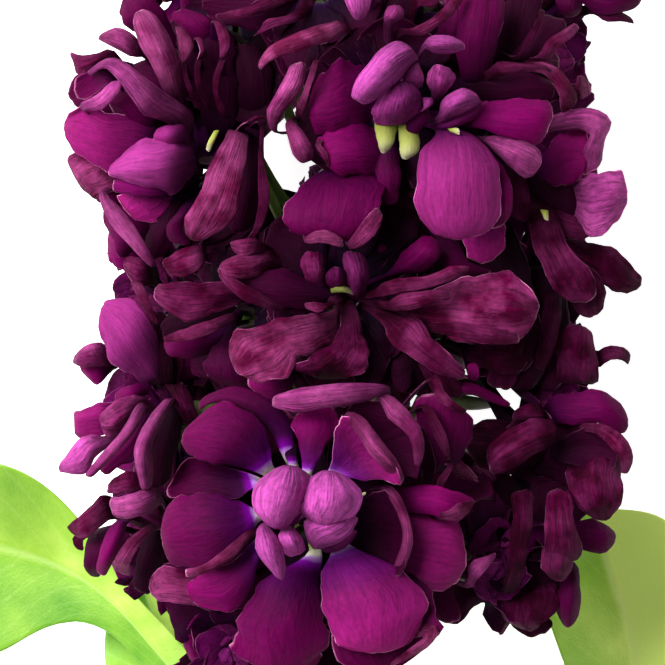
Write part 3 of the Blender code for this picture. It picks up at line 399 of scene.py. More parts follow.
        (-8.9, 90.9, -8.4, 89.1, 58), (-10.8, 89.4, -10.2, 88.3, 56), (-11.7, 87.7, -11.3, 87.3, 54)], ruffle=0.4),
    Traced(3, 0.92, 1.5, [(-8.7, 79.1, -9.4, 79.3, 52), (-8.4, 81.4, -10.4, 81.7, 56),
        (-7.3, 82.9, -9.7, 83.4, 57.5), (-5.7, 85, -8.2, 86, 58), (-5.1, 88.4, -6.9, 88.3, 56.5)], youth=0.2),
    Traced(3, 0.74, 0.3, [(-3.8, 88.6, -3.1, 88.4, 56), (-4.8, 86.6, -4, 86.4, 57), (-5.5, 84.5, -4.8, 84.3, 57),
        (-6.5, 82.7, -5.3, 82.5, 56), (-6.4, 81.3, -5.8, 81, 54)]),
    Traced(3, 0.78, 1.5, [(-7.5, 80.7, -6.8, 81, 54), (-7.7, 78.7, -5.6, 79, 57), (-7.2, 76.3, -4.4, 76.9, 57),
        (-5.7, 74.8, -4.4, 75.2, 55)], youth=0.1),
    Traced(3, 0.85, 0.2, [(-3.9, 77.6, -3.1, 77.8, 55), (-3.1, 76.1, -2.3, 76.1, 56), (-2.4, 74.5, -2, 74.5, 55)]),
    Traced(3, 0.55, 2, [(4, 80.2, 3.3, 88.9, 52), (-0, 78.7, -0.7, 88.4, 55), (-3.1, 78.5, -3.6, 86.5, 55.5),
        (-4.8, 80.5, -5, 83.4, 54)]),
    Traced(3, 0.64, 2, [(6.2, 74.9, 4.6, 80.2, 52), (2.6, 73.3, 0.6, 80.4, 55), (-0.7, 73.4, -2.7, 79.3, 55.5),
        (-3.1, 75.4, -4.4, 77.8, 54)]),
    Traced(3, 0.45, 1, [(7, 76.8, 4.1, 76.8, 53), (7.5, 72.8, 4.3, 72.8, 54), (6.8, 69.5, 5.2, 69.5, 52)]),
    Traced(3, 0.74, 2, [(15.5, 81.8, 15.5, 79.9, 54), (18.4, 82.9, 18.4, 79.2, 57), (22.4, 83.4, 22, 78.3, 58),
        (26.3, 83.7, 25.4, 77.6, 57.5), (27.8, 82.9, 27.1, 78.8, 56)]),
    Traced(3, 0.88, 2, [(18.4, 77.7, 17.6, 78.6, 54), (20.2, 76, 20.2, 78.7, 56.5), (22.1, 74.3, 23, 78.2, 57.5),
        (24.3, 73.2, 25.5, 77.2, 56.5), (25.7, 74.1, 26.2, 75.4, 55)], youth=0.3),
    Traced(3, 0.5, 0.3, [(19.6, 86.5, 18.9, 87.5, 52), (21.6, 86.9, 20.6, 88.6, 54), (24.3, 87.5, 23.5, 88.2, 54),
        (27.6, 87.5, 27.1, 88.1, 52)], ruffle=0.5),
    Traced(3, 0.22, 1, [(16.1, 87, 16.1, 83.7, 50), (20.7, 87.3, 20.7, 83.3, 51), (25.3, 87.3, 25.3, 83.7, 51.5),
        (28.2, 85.7, 28.2, 83.9, 50)]),
    Traced(3, 0.82, 0.5, [(24.8, 87.4, 24.8, 88.7, 50), (27.1, 86.5, 28.2, 88, 51.5),
        (28.4, 84.4, 29.8, 86, 51.5), (28.8, 82.8, 31.1, 84.2, 50), (29.3, 81.8, 30.7, 82.7, 48)]),
    Traced(3, 0.92, 2, [(-0.4, 98.5, 4.3, 98.5, 57), (0.2, 95.7, 3.5, 95.7, 59),
        (1.5, 93.5, 2.2, 93.5, 57)], youth=0.7),
    Traced(3, 0.72, 1.5, [(6.4, 93.1, 5.1, 93.6, 56), (7.7, 94.2, 5.1, 94.7, 58),
        (7.5, 95.8, 5.9, 96, 56)], youth=0.4),
    Traced(3, 0.6, 0.3, [(9.6, 95.5, 9.1, 96.9, 55), (11.5, 95.6, 11.2, 97, 56), (12.6, 96.5, 13.1, 97.7, 55)]),
    Traced(3, 0.62, 0.5, [(7.3, 92, 6.5, 92.7, 53), (10.4, 91.9, 8.8, 92.8, 56), (12.5, 93.2, 11.2, 93.8, 57),
        (14.5, 94.9, 13.1, 95.5, 56), (16.3, 97.5, 14.6, 97.8, 54)], ruffle=0.5),
    Traced(3, 0.12, 1, [(0.7, 89.2, 2, 95.9, 48), (-3.4, 89, -2, 94.4, 50), (-6.1, 85.1, -7.4, 89.1, 49)]),
    Traced(3, 0.08, 1, [(0.6, 90.4, 7.4, 89.1, 49), (2.6, 94.3, 8.7, 94.3, 51), (5.3, 97.7, 10, 98.4, 50)]),
    Traced(3, 0.1, 1, [(7.4, 78.5, 12.8, 78.5, 46), (7.1, 71.7, 11.4, 71.7, 47), (6.1, 65, 10.1, 65, 46)]),
    Traced(17, 0.47, 2, [(15.7, 86.1, 18.1, 85.8, 50), (15, 90.1, 20.1, 89.5, 53), (15, 94, 20.8, 94, 54),
        (15.6, 98.7, 21.2, 98.7, 52)]),
    Traced(17, 0.6, 0.5, [(26.8, 89, 25, 89.3, 50), (28.4, 90.6, 27, 91.5, 52.5), (30.1, 91.8, 28.9, 92.8, 52.5),
        (31.5, 93.4, 30.8, 94.1, 50)], ruffle=0.4),
    Traced(17, 0.2, 1, [(21.5, 89.2, 25.5, 88.9, 48), (24.8, 93, 28.1, 91.7, 50), (26.5, 95.9, 30.5, 94.3, 48)]),
    Traced(17, 0.3, 0.15, [(22.9, 89, 22.4, 89.5, 50), (24.9, 91.3, 24.1, 91.6, 51.5),
        (26.2, 93.7, 25.5, 94, 51.5), (26.8, 95.7, 26.1, 96, 50)]),
    Traced(17, 0.66, 0.5, [(30.8, 84.3, 30.5, 85.8, 48), (32.1, 83.9, 31.5, 87.1, 48), (33.4, 85, 32.8, 86.6, 46)]),
    Traced(17, 0.14, 1, [(18.2, 88, 23.6, 88.8, 46), (20.8, 93.2, 25.5, 93.2, 48), (21.6, 99.2, 27.3, 99.2, 47)]),
    Traced(17, 0.45, 1, [(11.4, 91.8, 16.1, 89.2, 48), (12.7, 94.4, 16.5, 94.4, 50), (14.1, 98.8, 16.8, 98.8, 48)]),
    Traced(7, 1, 1.5, [(27.9, 79.6, 27.4, 81.5, 46), (31, 79.7, 31.3, 82.6, 49), (32.8, 79.1, 34.7, 82, 50),
        (32.7, 78.3, 35.9, 80.6, 49.5), (32.1, 76.8, 35, 78.1, 48), (32, 73.4, 34.6, 74.7, 46)], youth=0.3),
    Traced(7, 0.8, 1, [(27.1, 77.2, 27.1, 73.1, 45), (29, 79.6, 29.7, 72.4, 46), (32.5, 80.1, 31.9, 73.1, 47),
        (32.8, 77.8, 32.5, 75.1, 46.5)]),
    Traced(7, 0.98, 1, [(30.8, 68.4, 31.2, 73.2, 44), (32.7, 65.8, 33.2, 74.1, 47.5),
        (34.8, 66.3, 34.9, 74.6, 48.5), (36.3, 67.2, 36.7, 74.4, 48),
        (38.1, 68.8, 38.3, 72.8, 46)], youth=0.45, ruffle=0.4),
    Traced(7, 0.45, 0.4, [(28.5, 67.5, 27.2, 69.8, 43), (29.9, 65.6, 29.1, 68.8, 45), (32.1, 65, 31.8, 68, 45),
        (34.3, 66, 34.6, 66.9, 44)]),
    Traced(7, 0.16, 1, [(23.8, 77.3, 25.1, 71.9, 43), (27.1, 73.9, 27.8, 69.1, 44), (29.8, 72.5, 30.2, 68, 45),
        (31.9, 71.1, 32.7, 68.4, 44)]),
    Traced(7, 0.46, 0.4, [(24.2, 69.3, 28.5, 68.8, 46), (25.1, 65.5, 29.7, 65.2, 48), (26.3, 62, 31.5, 62.5, 49),
        (27.8, 58.8, 33.2, 60.1, 48), (30.6, 55.8, 34.4, 57.2, 46)]),
    Traced(7, 0.6, 0.3, [(27.2, 68.9, 26.2, 69, 50), (27.2, 67.4, 26.8, 67.6, 50)], ruffle=0, claw=1),
    Traced(8, 0.43, 1, [(29.6, 63, 29.6, 65.5, 36), (31.9, 61.3, 33.2, 64.9, 40), (34.8, 59.1, 36.4, 63.8, 41),
        (37.3, 57.9, 39.5, 61.6, 40), (39.4, 57.8, 41.3, 59.4, 38)], ruffle=0.5),
    Traced(8, 0.41, 0.75, [(28.2, 62.1, 31.7, 62.1, 42), (29.2, 58.5, 35.2, 59.6, 43.5),
        (31.1, 56.1, 35.5, 56.9, 43), (33.4, 54.2, 35.2, 55.3, 41)], ruffle=0.8),
    Traced(8, 0.4, 1.25, [(33.5, 45.5, 28.9, 45.7, 40), (34.5, 48.5, 28.7, 50.1, 43),
        (33.9, 51.8, 29.9, 52.8, 43.5), (33.1, 53.2, 31.5, 53.8, 42)], ruffle=0.6),
    Traced(8, 0.53, 0.4, [(34.4, 47.9, 34.1, 50.1, 39), (35.9, 48.7, 35.9, 50.7, 41), (37.9, 48.6, 38, 50.4, 40),
        (38.9, 47.9, 39.4, 49.3, 38)]),
    Traced(8, 0.08, 1, [(21.8, 68.5, 17, 62.4, 42), (25.1, 61, 21, 56.9, 44), (27.1, 52.8, 21, 51.5, 44),
        (27.2, 44.7, 21.1, 44.7, 42)]),
    Traced(8, 0.14, 1, [(29.4, 61, 25.3, 61, 40), (30.7, 52.8, 25.2, 52.8, 41), (30.8, 44.6, 25.3, 44.6, 40)]),
    Traced(9, 0.54, 1, [(28.5, 44, 28.7, 40.1, 43), (32, 44.6, 31.7, 40.1, 46), (34.6, 44.7, 34.9, 39.8, 47),
        (37.1, 42.8, 37.1, 38.8, 46), (38.6, 40.6, 38.2, 39, 44.5)]),
    Traced(9, 0.43, 1.5, [(30, 34.9, 37.3, 36.6, 44), (30.2, 32.3, 37.9, 33.3, 47), (31.4, 29.2, 37.5, 29.9, 47),
        (34.3, 26.9, 35.7, 26.9, 44)]),
    Traced(9, 0.74, 0.5, [(32.8, 39.1, 32.4, 40.3, 46), (34.8, 38.1, 35.6, 39.8, 49),
        (35.9, 36.5, 37.9, 37.8, 50), (36.9, 35, 38.6, 35.4, 49), (37.3, 33.4, 38.1, 33.4, 47)]),
    Traced(9, 0.2, -1, [(29.2, 37.9, 29.4, 34.9, 44), (31.8, 39.8, 32.5, 34.5, 44.5),
        (35.2, 39.3, 35.6, 34.2, 45), (36.5, 37.3, 37.1, 34.2, 46)]),
    Traced(9, 0.44, 1.5, [(31.4, 26.9, 31, 24.1, 40), (33.6, 27, 32.5, 22.9, 42.5), (35.5, 26.5, 35, 22.4, 42.5),
        (37.1, 25.1, 37.1, 24, 40)]),
    Traced(18, 0.46, 1, [(27.9, 41, 28.8, 39.1, 46), (24.8, 40.8, 26.4, 36.7, 49), (21.8, 39.7, 23.7, 35.3, 49.5),
        (19.7, 37.9, 21.3, 33.8, 48.5), (18.9, 35.6, 19.5, 33.2, 47)], ruffle=1),
    Traced(18, 0.33, 0.5, [(26.4, 43.1, 27.1, 40.7, 45), (24.3, 42.7, 24.3, 40.7, 46), (22.6, 41.7, 22.6, 40.4, 45)]),
    Traced(18, 0.12, 1, [(29.3, 37.8, 24.6, 32.4, 41), (27.2, 39.9, 21.7, 35.9, 43), (23.8, 42.6, 20.8, 38.6, 43)]),
    Traced(18, 0.62, 1, [(12.3, 46.1, 12.9, 44.4, 44), (17.5, 45.5, 17.5, 43.9, 46), (22.6, 42.8, 22.1, 42.3, 45)]),
    Traced(10, 0.31, 0.5, [(23, 17.4, 21, 17.4, 45), (24.3, 21.2, 21.9, 21.6, 48), (24.9, 24.6, 22.1, 24.6, 49),
        (25.2, 28, 22.4, 28, 48.5), (25.2, 31.5, 22.4, 31.2, 46)], ruffle=0.4),
    Traced(10, 0.46, 1, [(31.3, 21.8, 26.5, 21.8, 47), (31.3, 25.2, 26.7, 24.6, 49), (30.7, 28, 27.1, 28, 49),
        (30.8, 31.8, 27, 31.2, 46)]),
    Traced(10, 0.45, 1, [(26.8, 23.5, 31.1, 23.5, 47), (26.5, 20.8, 30.8, 21.1, 48),
        (28.3, 18.9, 29.4, 18.7, 45)], ruffle=0.5),
    Traced(10, 0.44, 1.5, [(31.2, 21.2, 29.3, 18.7, 41), (32.3, 17.5, 28.7, 16.2, 43), (32, 14.4, 29, 13.9, 42),
        (31, 12.2, 30.2, 12, 40)]),
    Traced(10, 0.36, 1, [(22.9, 18.6, 27.8, 18.9, 39), (20.8, 15.9, 29.2, 16.2, 43), (21.6, 13.4, 27.2, 13.4, 43),
        (24.5, 11.8, 25.8, 11.6, 40)], ruffle=0.9),
    Traced(10, 0.25, 1, [(21.3, 15.8, 20.6, 21.3, 38), (18.4, 15.3, 17.1, 19.4, 41), (15.7, 13, 14.6, 17.1, 41),
        (13.3, 12.7, 12.5, 15.2, 39)]),
    Traced(10, 0.16, 1, [(21.2, 14.6, 29.4, 14.6, 40), (22.5, 25.6, 32.1, 25.6, 41), (23.2, 32.3, 33.5, 32.3, 40)]),
    Traced(10, 0.02, 1, [(18.5, 15.9, 21.2, 15.9, 40), (17.1, 24.2, 23.2, 26.9, 41), (17.1, 32.3, 23.9, 33.7, 40)]),
    Traced(4, 0.88, -1, [(-26.3, 75.1, -25.7, 80.5, 46), (-30.3, 74.3, -29.6, 82.1, 48.5),
        (-33.6, 75, -32.9, 82.3, 49.5), (-36.7, 77.1, -35.7, 82.7, 48), (-38.1, 79.2, -38, 81.5, 45.5)], ruffle=0.5),
    Traced(4, 0.7, 0.5, [(-31.9, 77.3, -28.5, 73.9, 43), (-35.2, 77.2, -31.1, 71.8, 45),
        (-37.6, 76.2, -33.2, 70.5, 44), (-37.2, 73.9, -34.7, 70.5, 42)]),
    Traced(4, 0.92, 4.5, [(-20.4, 74.1, -20.9, 78.2, 47), (-22.6, 71.8, -23.6, 79, 52.5),
        (-26, 71.4, -26.6, 78.2, 54), (-28.9, 72.5, -29.2, 76.8, 53),
        (-31.8, 73.5, -31.8, 74.5, 50)], youth=0.42, ruffle=0.4),
    Traced(4, 0.82, 1.5, [(-21.5, 78.1, -21.5, 80.2, 49), (-23.4, 77.7, -23.7, 80.3, 52),
        (-25.9, 78, -25.6, 79.6, 50)], youth=0.35),
    Traced(4, 0.6, 0.6, [(-24.1, 70.9, -24.8, 72.1, 50), (-28.1, 70.8, -28.1, 72.6, 51),
        (-31.3, 71.4, -31.3, 73.2, 49)], youth=0.14),
    Traced(4, 1.1, 1, [(-23.3, 70.4, -28.3, 71.7, 47), (-25.2, 67.4, -30.6, 70.9, 47),
        (-27.4, 66.9, -30.7, 69.6, 46)]),
    Traced(4, 0.97, 1, [(-32.9, 71.7, -32, 71.4, 47), (-32.4, 68.9, -30.2, 69.2, 49),
        (-30.8, 66.3, -28.5, 67.3, 49), (-27.9, 63.1, -26.5, 63.6, 48), (-26.1, 61.2, -25.5, 61.5, 46)], youth=0.24),
    Traced(4, 0.8, 1.5, [(-15.7, 79.7, -12.9, 79.1, 49), (-17.2, 76.1, -13.3, 74.8, 53.5),
        (-19.3, 71.4, -14.2, 70.1, 55), (-21.4, 68, -15.9, 66.7, 54), (-21.4, 65.1, -19.4, 64.5, 51)], youth=0.03),
    Traced(4, 0.42, 1, [(-20.8, 68.9, -22.4, 68.6, 51), (-21.8, 66.5, -24, 66.5, 51), (-20.2, 64.2, -23, 64.1, 49)]),
    Traced(4, 0.72, 0.2, [(-16.8, 79.5, -17.4, 79.5, 52), (-17.5, 78.1, -18.2, 78.1, 52),
        (-18.2, 76.6, -18.6, 76.9, 51)], ruffle=0, claw=1),
    Traced(4, 0.36, 0.2, [(-11.7, 80.7, -11.1, 80.7, 50), (-11.6, 75.5, -10.8, 75.5, 52),
        (-11.6, 70.1, -10, 70.8, 53), (-12.2, 66.4, -11.1, 66.8, 52), (-13.7, 64.5, -12.8, 64.5, 50)]),
    Traced(4, 0.22, 1, [(-11.2, 80.1, -14.2, 80.1, 46), (-11.2, 73, -14.7, 73, 48), (-12.8, 65.7, -16.1, 66.1, 46)]),
    Traced(4, 0.9, 2, [(-20.5, 82, -24.1, 80.7, 50), (-23.3, 83.8, -27, 81.7, 54), (-25.6, 85.7, -28.5, 83.9, 56),
        (-28.2, 87.7, -30.1, 86.2, 56.5), (-31.2, 89, -32, 87.6, 55), (-34.6, 87.3, -34.1, 86.7, 52)], youth=0.35),
    Traced(4, 0.48, -1, [(-31.1, 85.7, -31.9, 87.8, 52), (-33.4, 84.5, -34.7, 87.4, 50),
        (-35.6, 83.2, -36.9, 85.6, 49)]),
    Traced(4, 1.1, 0.8, [(-34.7, 82, -35.5, 82.7, 50), (-32.7, 82.3, -33.4, 84.1, 52),
        (-30.7, 83.7, -31.5, 85.7, 54), (-29.4, 85.5, -29.9, 86, 55)], youth=0.42),
    Traced(4, 0.55, 1, [(-26.3, 80, -24.9, 83.8, 48), (-29.5, 81.2, -28.2, 85.3, 50),
        (-32.2, 82.1, -30.9, 85.1, 49)]),
    Traced(4, 0.78, 1.5, [(-27.4, 90.9, -26.9, 89.3, 46), (-28.9, 92.7, -28.9, 89.6, 49),
        (-30.9, 93.5, -31.3, 91, 49), (-33.1, 92.8, -33.5, 92.3, 46)], youth=0.14),
    Traced(4, 0.88, 3, [(-21.9, 84.3, -23.8, 84, 49), (-22, 88, -25.3, 86.7, 53),
        (-23.5, 91.9, -26.9, 89.7, 54.5), (-25.3, 94.6, -28.1, 93, 54), (-27.1, 95.9, -28.3, 95, 52)], youth=0.1),
    Traced(4, 0.74, 0.6, [(-31.1, 90.4, -32.4, 88.8, 46), (-33.7, 90, -34.1, 88.2, 47),
        (-35.5, 89.9, -35.9, 87.1, 47), (-37.5, 90.6, -36.7, 88.8, 45)], youth=0.07),
    Traced(4, 0.86, 0.4, [(-22.7, 93.3, -21.9, 93, 50), (-22.2, 90.7, -20.3, 91, 52),
        (-21.7, 88.1, -21.3, 88.7, 51)]),
    Traced(4, 0.55, 0.2, [(-20.3, 91.7, -19.5, 91.7, 50), (-19.4, 90.2, -18.7, 90.5, 51.5),
        (-20, 88.7, -19.6, 89, 50)]),
    Traced(4, 0.64, 0.3, [(-17.9, 94, -16.5, 93.8, 51), (-16.8, 91.5, -15.2, 91.2, 53),
        (-16.7, 88.9, -16.5, 88.9, 51.5)]),
    Traced(4, 0.52, 0.25, [(-16.7, 88.9, -15.9, 88.9, 51), (-17.6, 86.7, -16.7, 86.5, 52),
        (-17.6, 84.6, -17, 84.6, 52), (-17.2, 82.8, -16.2, 82.7, 50), (-16.2, 81.2, -15.5, 81.4, 48)]),
    Traced(4, 0.4, 0.2, [(-21.9, 88.5, -21.2, 88.5, 50), (-21.6, 86.3, -20.9, 86.3, 51),
        (-20.7, 83.9, -20, 84.2, 50), (-19.7, 82.4, -19.1, 82.7, 48)]),
    Traced(4, 0.28, 0.2, [(-19.9, 89, -19.1, 89, 50), (-20.2, 86.8, -19.4, 86.8, 51),
        (-19.6, 84.5, -18.8, 84.7, 50), (-18.4, 82.4, -17.9, 82.7, 48)]),
    Traced(4, 0.18, 1, [(-19, 80.6, -14.9, 80.6, 44), (-20.9, 85.3, -14.5, 85.3, 46),
        (-22.3, 90.6, -14.8, 90.6, 47), (-22.6, 94.7, -15.3, 94.7, 46)]),
    Traced(4, 0.1, 1, [(-14.3, 80.7, -10.5, 81.4, 43), (-15.3, 86.6, -9.9, 86.6, 46), (-15.3, 92, -11.2, 91.3, 46)]),
    Traced(4, 0.62, 0.5, [(-19.5, 64.4, -18.9, 62, 48), (-22.2, 63.6, -20.8, 60.1, 49),
        (-25, 62, -23.9, 60.4, 47)], ruffle=0.5),
    Traced(4, 0.18, 1, [(-21, 71.8, -25, 71.8, 45), (-22.3, 67, -26.6, 67, 46), (-25.1, 62.1, -27.8, 62.6, 44)]),
    Traced(4, 0.6, 0.1, [(-14, 80.1, -12.4, 81.1, 52), (-11.9, 80.9, -10, 81.4, 52)]),
    Traced(4, 0.36, 1, [(-27.8, 80.6, -27.8, 88.6, 44), (-32.5, 82.3, -33.2, 89.4, 45),
        (-36.8, 82.5, -38.2, 86.3, 43)]),
    Traced(4, 0.6, 1, [(-28.6, 69.9, -25.2, 76, 41), (-31.9, 69.8, -30.6, 77.3, 43), (-35.1, 71.9, -35.6, 77.4, 41)]),
    Traced(4, 0.5, 1, [(-29.6, 63.1, -22.5, 70.6, 41), (-31.7, 65.1, -29.3, 70.5, 42),
        (-33.5, 68.6, -32.1, 71.3, 40)]),
    Traced(4, 0.3, 1, [(-22.4, 81.4, -19.7, 86.8, 43), (-26.4, 84, -25, 89.4, 45), (-30.5, 84, -29.4, 89.5, 44)]),
    Traced(10, 0.3, 1, [(21.2, 21.3, 21.2, 26.8, 39), (23.9, 17.3, 28, 23.5, 40), (27.5, 13.7, 33.6, 15.8, 38)]),
    Traced(10, 0.22, 1, [(18.6, 21.2, 21.3, 21.2, 37), (20.6, 15.8, 25.4, 15.8, 38), (24.1, 10.1, 29.6, 11.2, 36)]),
    Traced(9, 0.2, 1, [(23.9, 40.6, 23.9, 33.7, 41), (29.3, 41.9, 30.6, 32.4, 42), (36.2, 39.2, 37.5, 33.7, 41)]),
    Traced(8, 0.2, 1, [(25.5, 61.1, 25.5, 55.6, 36), (30.9, 63.8, 30.9, 54.2, 38), (35.2, 63.9, 33.8, 56.3, 36)]),
    Traced(8, 0.2, 1, [(25.5, 57, 25.5, 50.1, 36), (29.5, 54.2, 29.5, 44.6, 38), (33.7, 52.8, 33, 45.3, 37)]),
    Traced(2, 0.28, 1, [(0.7, 56.9, 0.7, 52.8, 45), (4.7, 58.2, 4.7, 52.2, 47), (10.1, 58.9, 10.1, 52.8, 46)]),
    Traced(1, 0.4, 1, [(-10.1, 30.1, -11.1, 26.8, 51), (-14.7, 32.8, -15.4, 27.2, 52.5),
        (-19.4, 34.2, -20, 27.5, 52), (-22.8, 34.8, -23.4, 27.4, 51)]),
    Traced(1, 0.4, 1, [(-8.1, 34.1, -11.1, 31.4, 51), (-11.1, 38.2, -14.7, 33.5, 53),
        (-14.7, 41.5, -18.7, 35.3, 53), (-17.4, 42.8, -21, 36.8, 52)]),
    Traced(1, 0.5, 1, [(-5.4, 34.1, -8.7, 34.1, 51), (-6, 38.2, -11.1, 38.2, 53.5), (-6.7, 42.2, -12.7, 42.2, 53)]),
    Traced(1, 0.61, 1, [(-0, 34.1, -4.4, 34.1, 51), (0.6, 38.2, -4.4, 38.2, 53.5), (0.9, 42.2, -4.4, 42.2, 54)]),
    Traced(1, 0.73, 1, [(-8.1, 22.1, -12.1, 26.1, 51), (-11.1, 18.2, -16, 22.9, 53), (-14, 14.1, -19.4, 18.8, 52)]),
    Traced(1, 0.4, 1, [(-1.4, 22.7, -8.1, 22.1, 51), (-1.4, 18.3, -8, 18.3, 54), (-1.4, 12.9, -7.4, 12.9, 53)]),
    Traced(1, 0.33, 1, [(5.3, 30.1, 2.6, 30.1, 52), (6.2, 27.5, -0, 24.9, 53), (7, 23.5, -0, 20.8, 52)]),
    Traced(18, 0.14, 1, [(23.1, 40.3, 23.8, 34.1, 42), (19.9, 40.8, 19.9, 33.9, 44), (16.7, 40.9, 16.2, 35.2, 42.5)]),
    Traced(7, 0.2, 1, [(23.9, 73.3, 23.9, 68.5, 41), (27.2, 71.2, 27.2, 67.1, 42), (31.4, 69.9, 31.4, 66.2, 41)]),
    Traced(2, 0.28, 1, [(-0.7, 55.5, -2, 58.3, 45), (-4.7, 54.2, -6.1, 57.6, 47), (-8.8, 52.8, -11.5, 55.5, 46)]),
    Traced(11, 0.3, 1, [(-24.6, 45.3, -21.8, 45.3, 41), (-23.1, 42.6, -20.4, 42.6, 42),
        (-22.5, 39.9, -19.8, 39.9, 41)]),
    Traced(8, 0.29, 0.5, [(23.8, 57.2, 26.6, 56.9, 42), (20.9, 51.5, 24.5, 50.8, 45.5), (18.9, 45, 22.7, 44.4, 43)]),
    Traced(8, 0.24, 0.5, [(27.3, 58, 29.6, 57.5, 41), (26.4, 52.8, 28.8, 52.2, 45), (24.9, 47.7, 27.2, 47.1, 43)]),
    Traced(8, 0.26, 0.5, [(22.1, 55.3, 23.8, 53.9, 43), (18.8, 52.3, 20.9, 50.4, 46), (16.7, 49, 18.6, 47.1, 44)]),
    Traced(2, 0.34, 0.5, [(16.3, 48.8, 16.9, 50.8, 44), (20.2, 47.2, 20.9, 49.9, 46.5),
        (24.3, 46.9, 25.4, 50.1, 44)]),
    Traced(2, 0.18, 1, [(-6.1, 57.4, -3.7, 58.3, 45), (-9.5, 63.6, -6.1, 64.2, 47), (-11.2, 66.1, -7.2, 66.6, 46)]),
    Traced(2, 0.36, 1, [(3.6, 52.8, 0.9, 52.8, 45), (3.6, 48.8, -0, 48.8, 47), (4.7, 44, -0, 43.4, 45)]),
    Traced(2, 0.3, 0.5, [(8.8, 49.9, 11.5, 50.1, 45), (10.8, 46.1, 14.1, 47.2, 47), (12.8, 43.1, 16.9, 43.9, 45)]),
    Traced(3, 0.4, 1, [(14.8, 65.7, 11.5, 65.7, 46), (16.8, 62, 12.8, 62, 48), (20.7, 60.7, 16.2, 59.6, 46)]),
    Traced(3, 0.34, 0.5, [(21.1, 74.6, 22.9, 75, 48), (21.8, 70.9, 24.5, 71.6, 50), (22.4, 67.4, 25.1, 67.4, 48)]),
    Traced(17, 0.36, 0.5, [(22.9, 86.5, 22.9, 89.2, 47), (26.2, 87.5, 25.5, 91.1, 49), (29, 87.6, 29, 89.9, 47)]),
    Traced(5, 0.44, 1, [(-26.5, 91.6, -21.8, 91.6, 42), (-28.4, 93.2, -24.4, 95.5, 45),
        (-30.3, 94.4, -26.3, 98.1, 46), (-30.8, 97, -28.5, 99.5, 44)]),
    Traced(5, 0.52, 1, [(-19, 89.4, -17.5, 90.7, 45), (-22.2, 93.5, -17.9, 93.9, 48), (-24.3, 96, -20.2, 96.2, 47)]),
    Traced(6, 0.48, 0.4, [(-5.3, 97.1, -4.4, 95.7, 50), (-7.4, 94.9, -6.3, 94.1, 53),
        (-10.5, 94.1, -9.7, 93, 53.5), (-11.1, 92.9, -12.7, 91.8, 52)], ruffle=0.5),
    Traced(6, 0.52, 0.4, [(-8.7, 98.7, -6.6, 97.1, 50), (-11.1, 97, -10.3, 95.4, 53), (-14, 95.6, -14, 94.4, 54),
        (-17.4, 95, -17.2, 94.2, 52)], ruffle=0.5),
    Traced(6, 0.24, 1.5, [(-5.4, 95.6, -6.1, 99.7, 48), (-8.7, 94, -10.1, 99.1, 51),
        (-13.4, 93.2, -14.7, 98.6, 51), (-18.8, 94.1, -19.5, 97.9, 50)], ruffle=0.6),
    Traced(6, 0.12, 1, [(-2, 93.2, -2, 98.6, 48), (-5.4, 92.2, -6.1, 97.7, 50), (-10.1, 91.3, -8.8, 94.5, 48)]),
    Traced(16, 0.36, 1.5, [(32, 99.4, 28.2, 99.4, 42), (32.1, 97, 28.6, 96.8, 44), (31.6, 95.5, 30.2, 95.3, 42)]),
    Traced(16, 0.46, 1.5, [(31.2, 100.3, 31.9, 97.3, 44), (34.4, 100.4, 34.4, 95.8, 46),
        (37.8, 100.1, 37.4, 95.7, 46), (40.8, 99.2, 40.3, 97, 44)]),
    Traced(16, 0.4, 0.3, [(33.6, 95.9, 33.1, 97.2, 42), (35.4, 94.6, 35.3, 96.2, 44), (37.3, 94.7, 37.3, 96, 44),
        (39.5, 94.5, 39.2, 95.2, 42)]),
    Traced(12, 0.84, 1.5, [(-26.9, 45.7, -24.5, 46.2, 34), (-29.8, 46.8, -25.9, 50.8, 38),
        (-32.4, 48.5, -26.9, 54.5, 40.5), (-33.5, 51.2, -29.1, 56.9, 40),
        (-33.9, 54.5, -33.2, 57.4, 38)], youth=0.35, ruffle=0.5),
    Traced(12, 0.82, 1, [(-32.4, 50.1, -32.4, 47.8, 31), (-34.1, 51.3, -34.5, 47.9, 34),
        (-36.1, 50.6, -36.6, 47.9, 34), (-37.8, 49, -37.9, 48.3, 31)], youth=0.2),
    Traced(12, 0.76, 0.6, [(-33.4, 46.2, -33.6, 48.4, 31), (-34.4, 45.3, -35.9, 48.1, 32),
        (-35.5, 45.7, -37.5, 48, 30)]),
    Traced(12, 0.66, 1, [(-28.2, 59, -26.2, 62.2, 36), (-29.7, 60.8, -28.7, 65.1, 40),
        (-31.7, 61.5, -30.7, 66.8, 40), (-32.7, 63.6, -32.7, 66.6, 37)], ruffle=0.8),
    Traced(12, 0.52, 0.5, [(-26.6, 62.1, -26.6, 59, 40), (-28.6, 62.9, -28.6, 59.1, 42),
        (-30.5, 62.7, -30.1, 60.8, 40)], ruffle=0.7),
    Traced(12, 0.78, 0.3, [(-29.3, 59.7, -27.7, 59.4, 41), (-27.9, 56.9, -26.5, 56.9, 43),
        (-26.3, 53.9, -25.5, 53.4, 41)]),
    Traced(12, 0.12, 1, [(-23.4, 45.3, -26.9, 45.3, 35), (-24.1, 50.8, -27.5, 50.8, 36),
        (-24.8, 55.6, -27.6, 55.6, 35)]),
    Traced(15, 0.52, 1, [(-12.8, 58.5, -12.8, 56.6, 46), (-17.4, 59.1, -17.4, 55.1, 50),
        (-21, 59.4, -21.4, 54.3, 51.5), (-23.7, 59.3, -24.1, 55.5, 51), (-25.5, 58.7, -25.9, 57.4, 49)], ruffle=0.9),
    Traced(15, 0.64, 0.4, [(-15, 55.3, -14.7, 53.9, 47), (-17.8, 54.2, -17.4, 52.7, 50.5),
        (-21.3, 53.2, -20.8, 51.5, 51), (-24.5, 51.8, -24.2, 51.2, 49)], ruffle=0.4),
    Traced(15, 0.5, 1, [(-17.6, 50.1, -17.6, 52.6, 45), (-20.9, 49.1, -20.9, 51.8, 47),
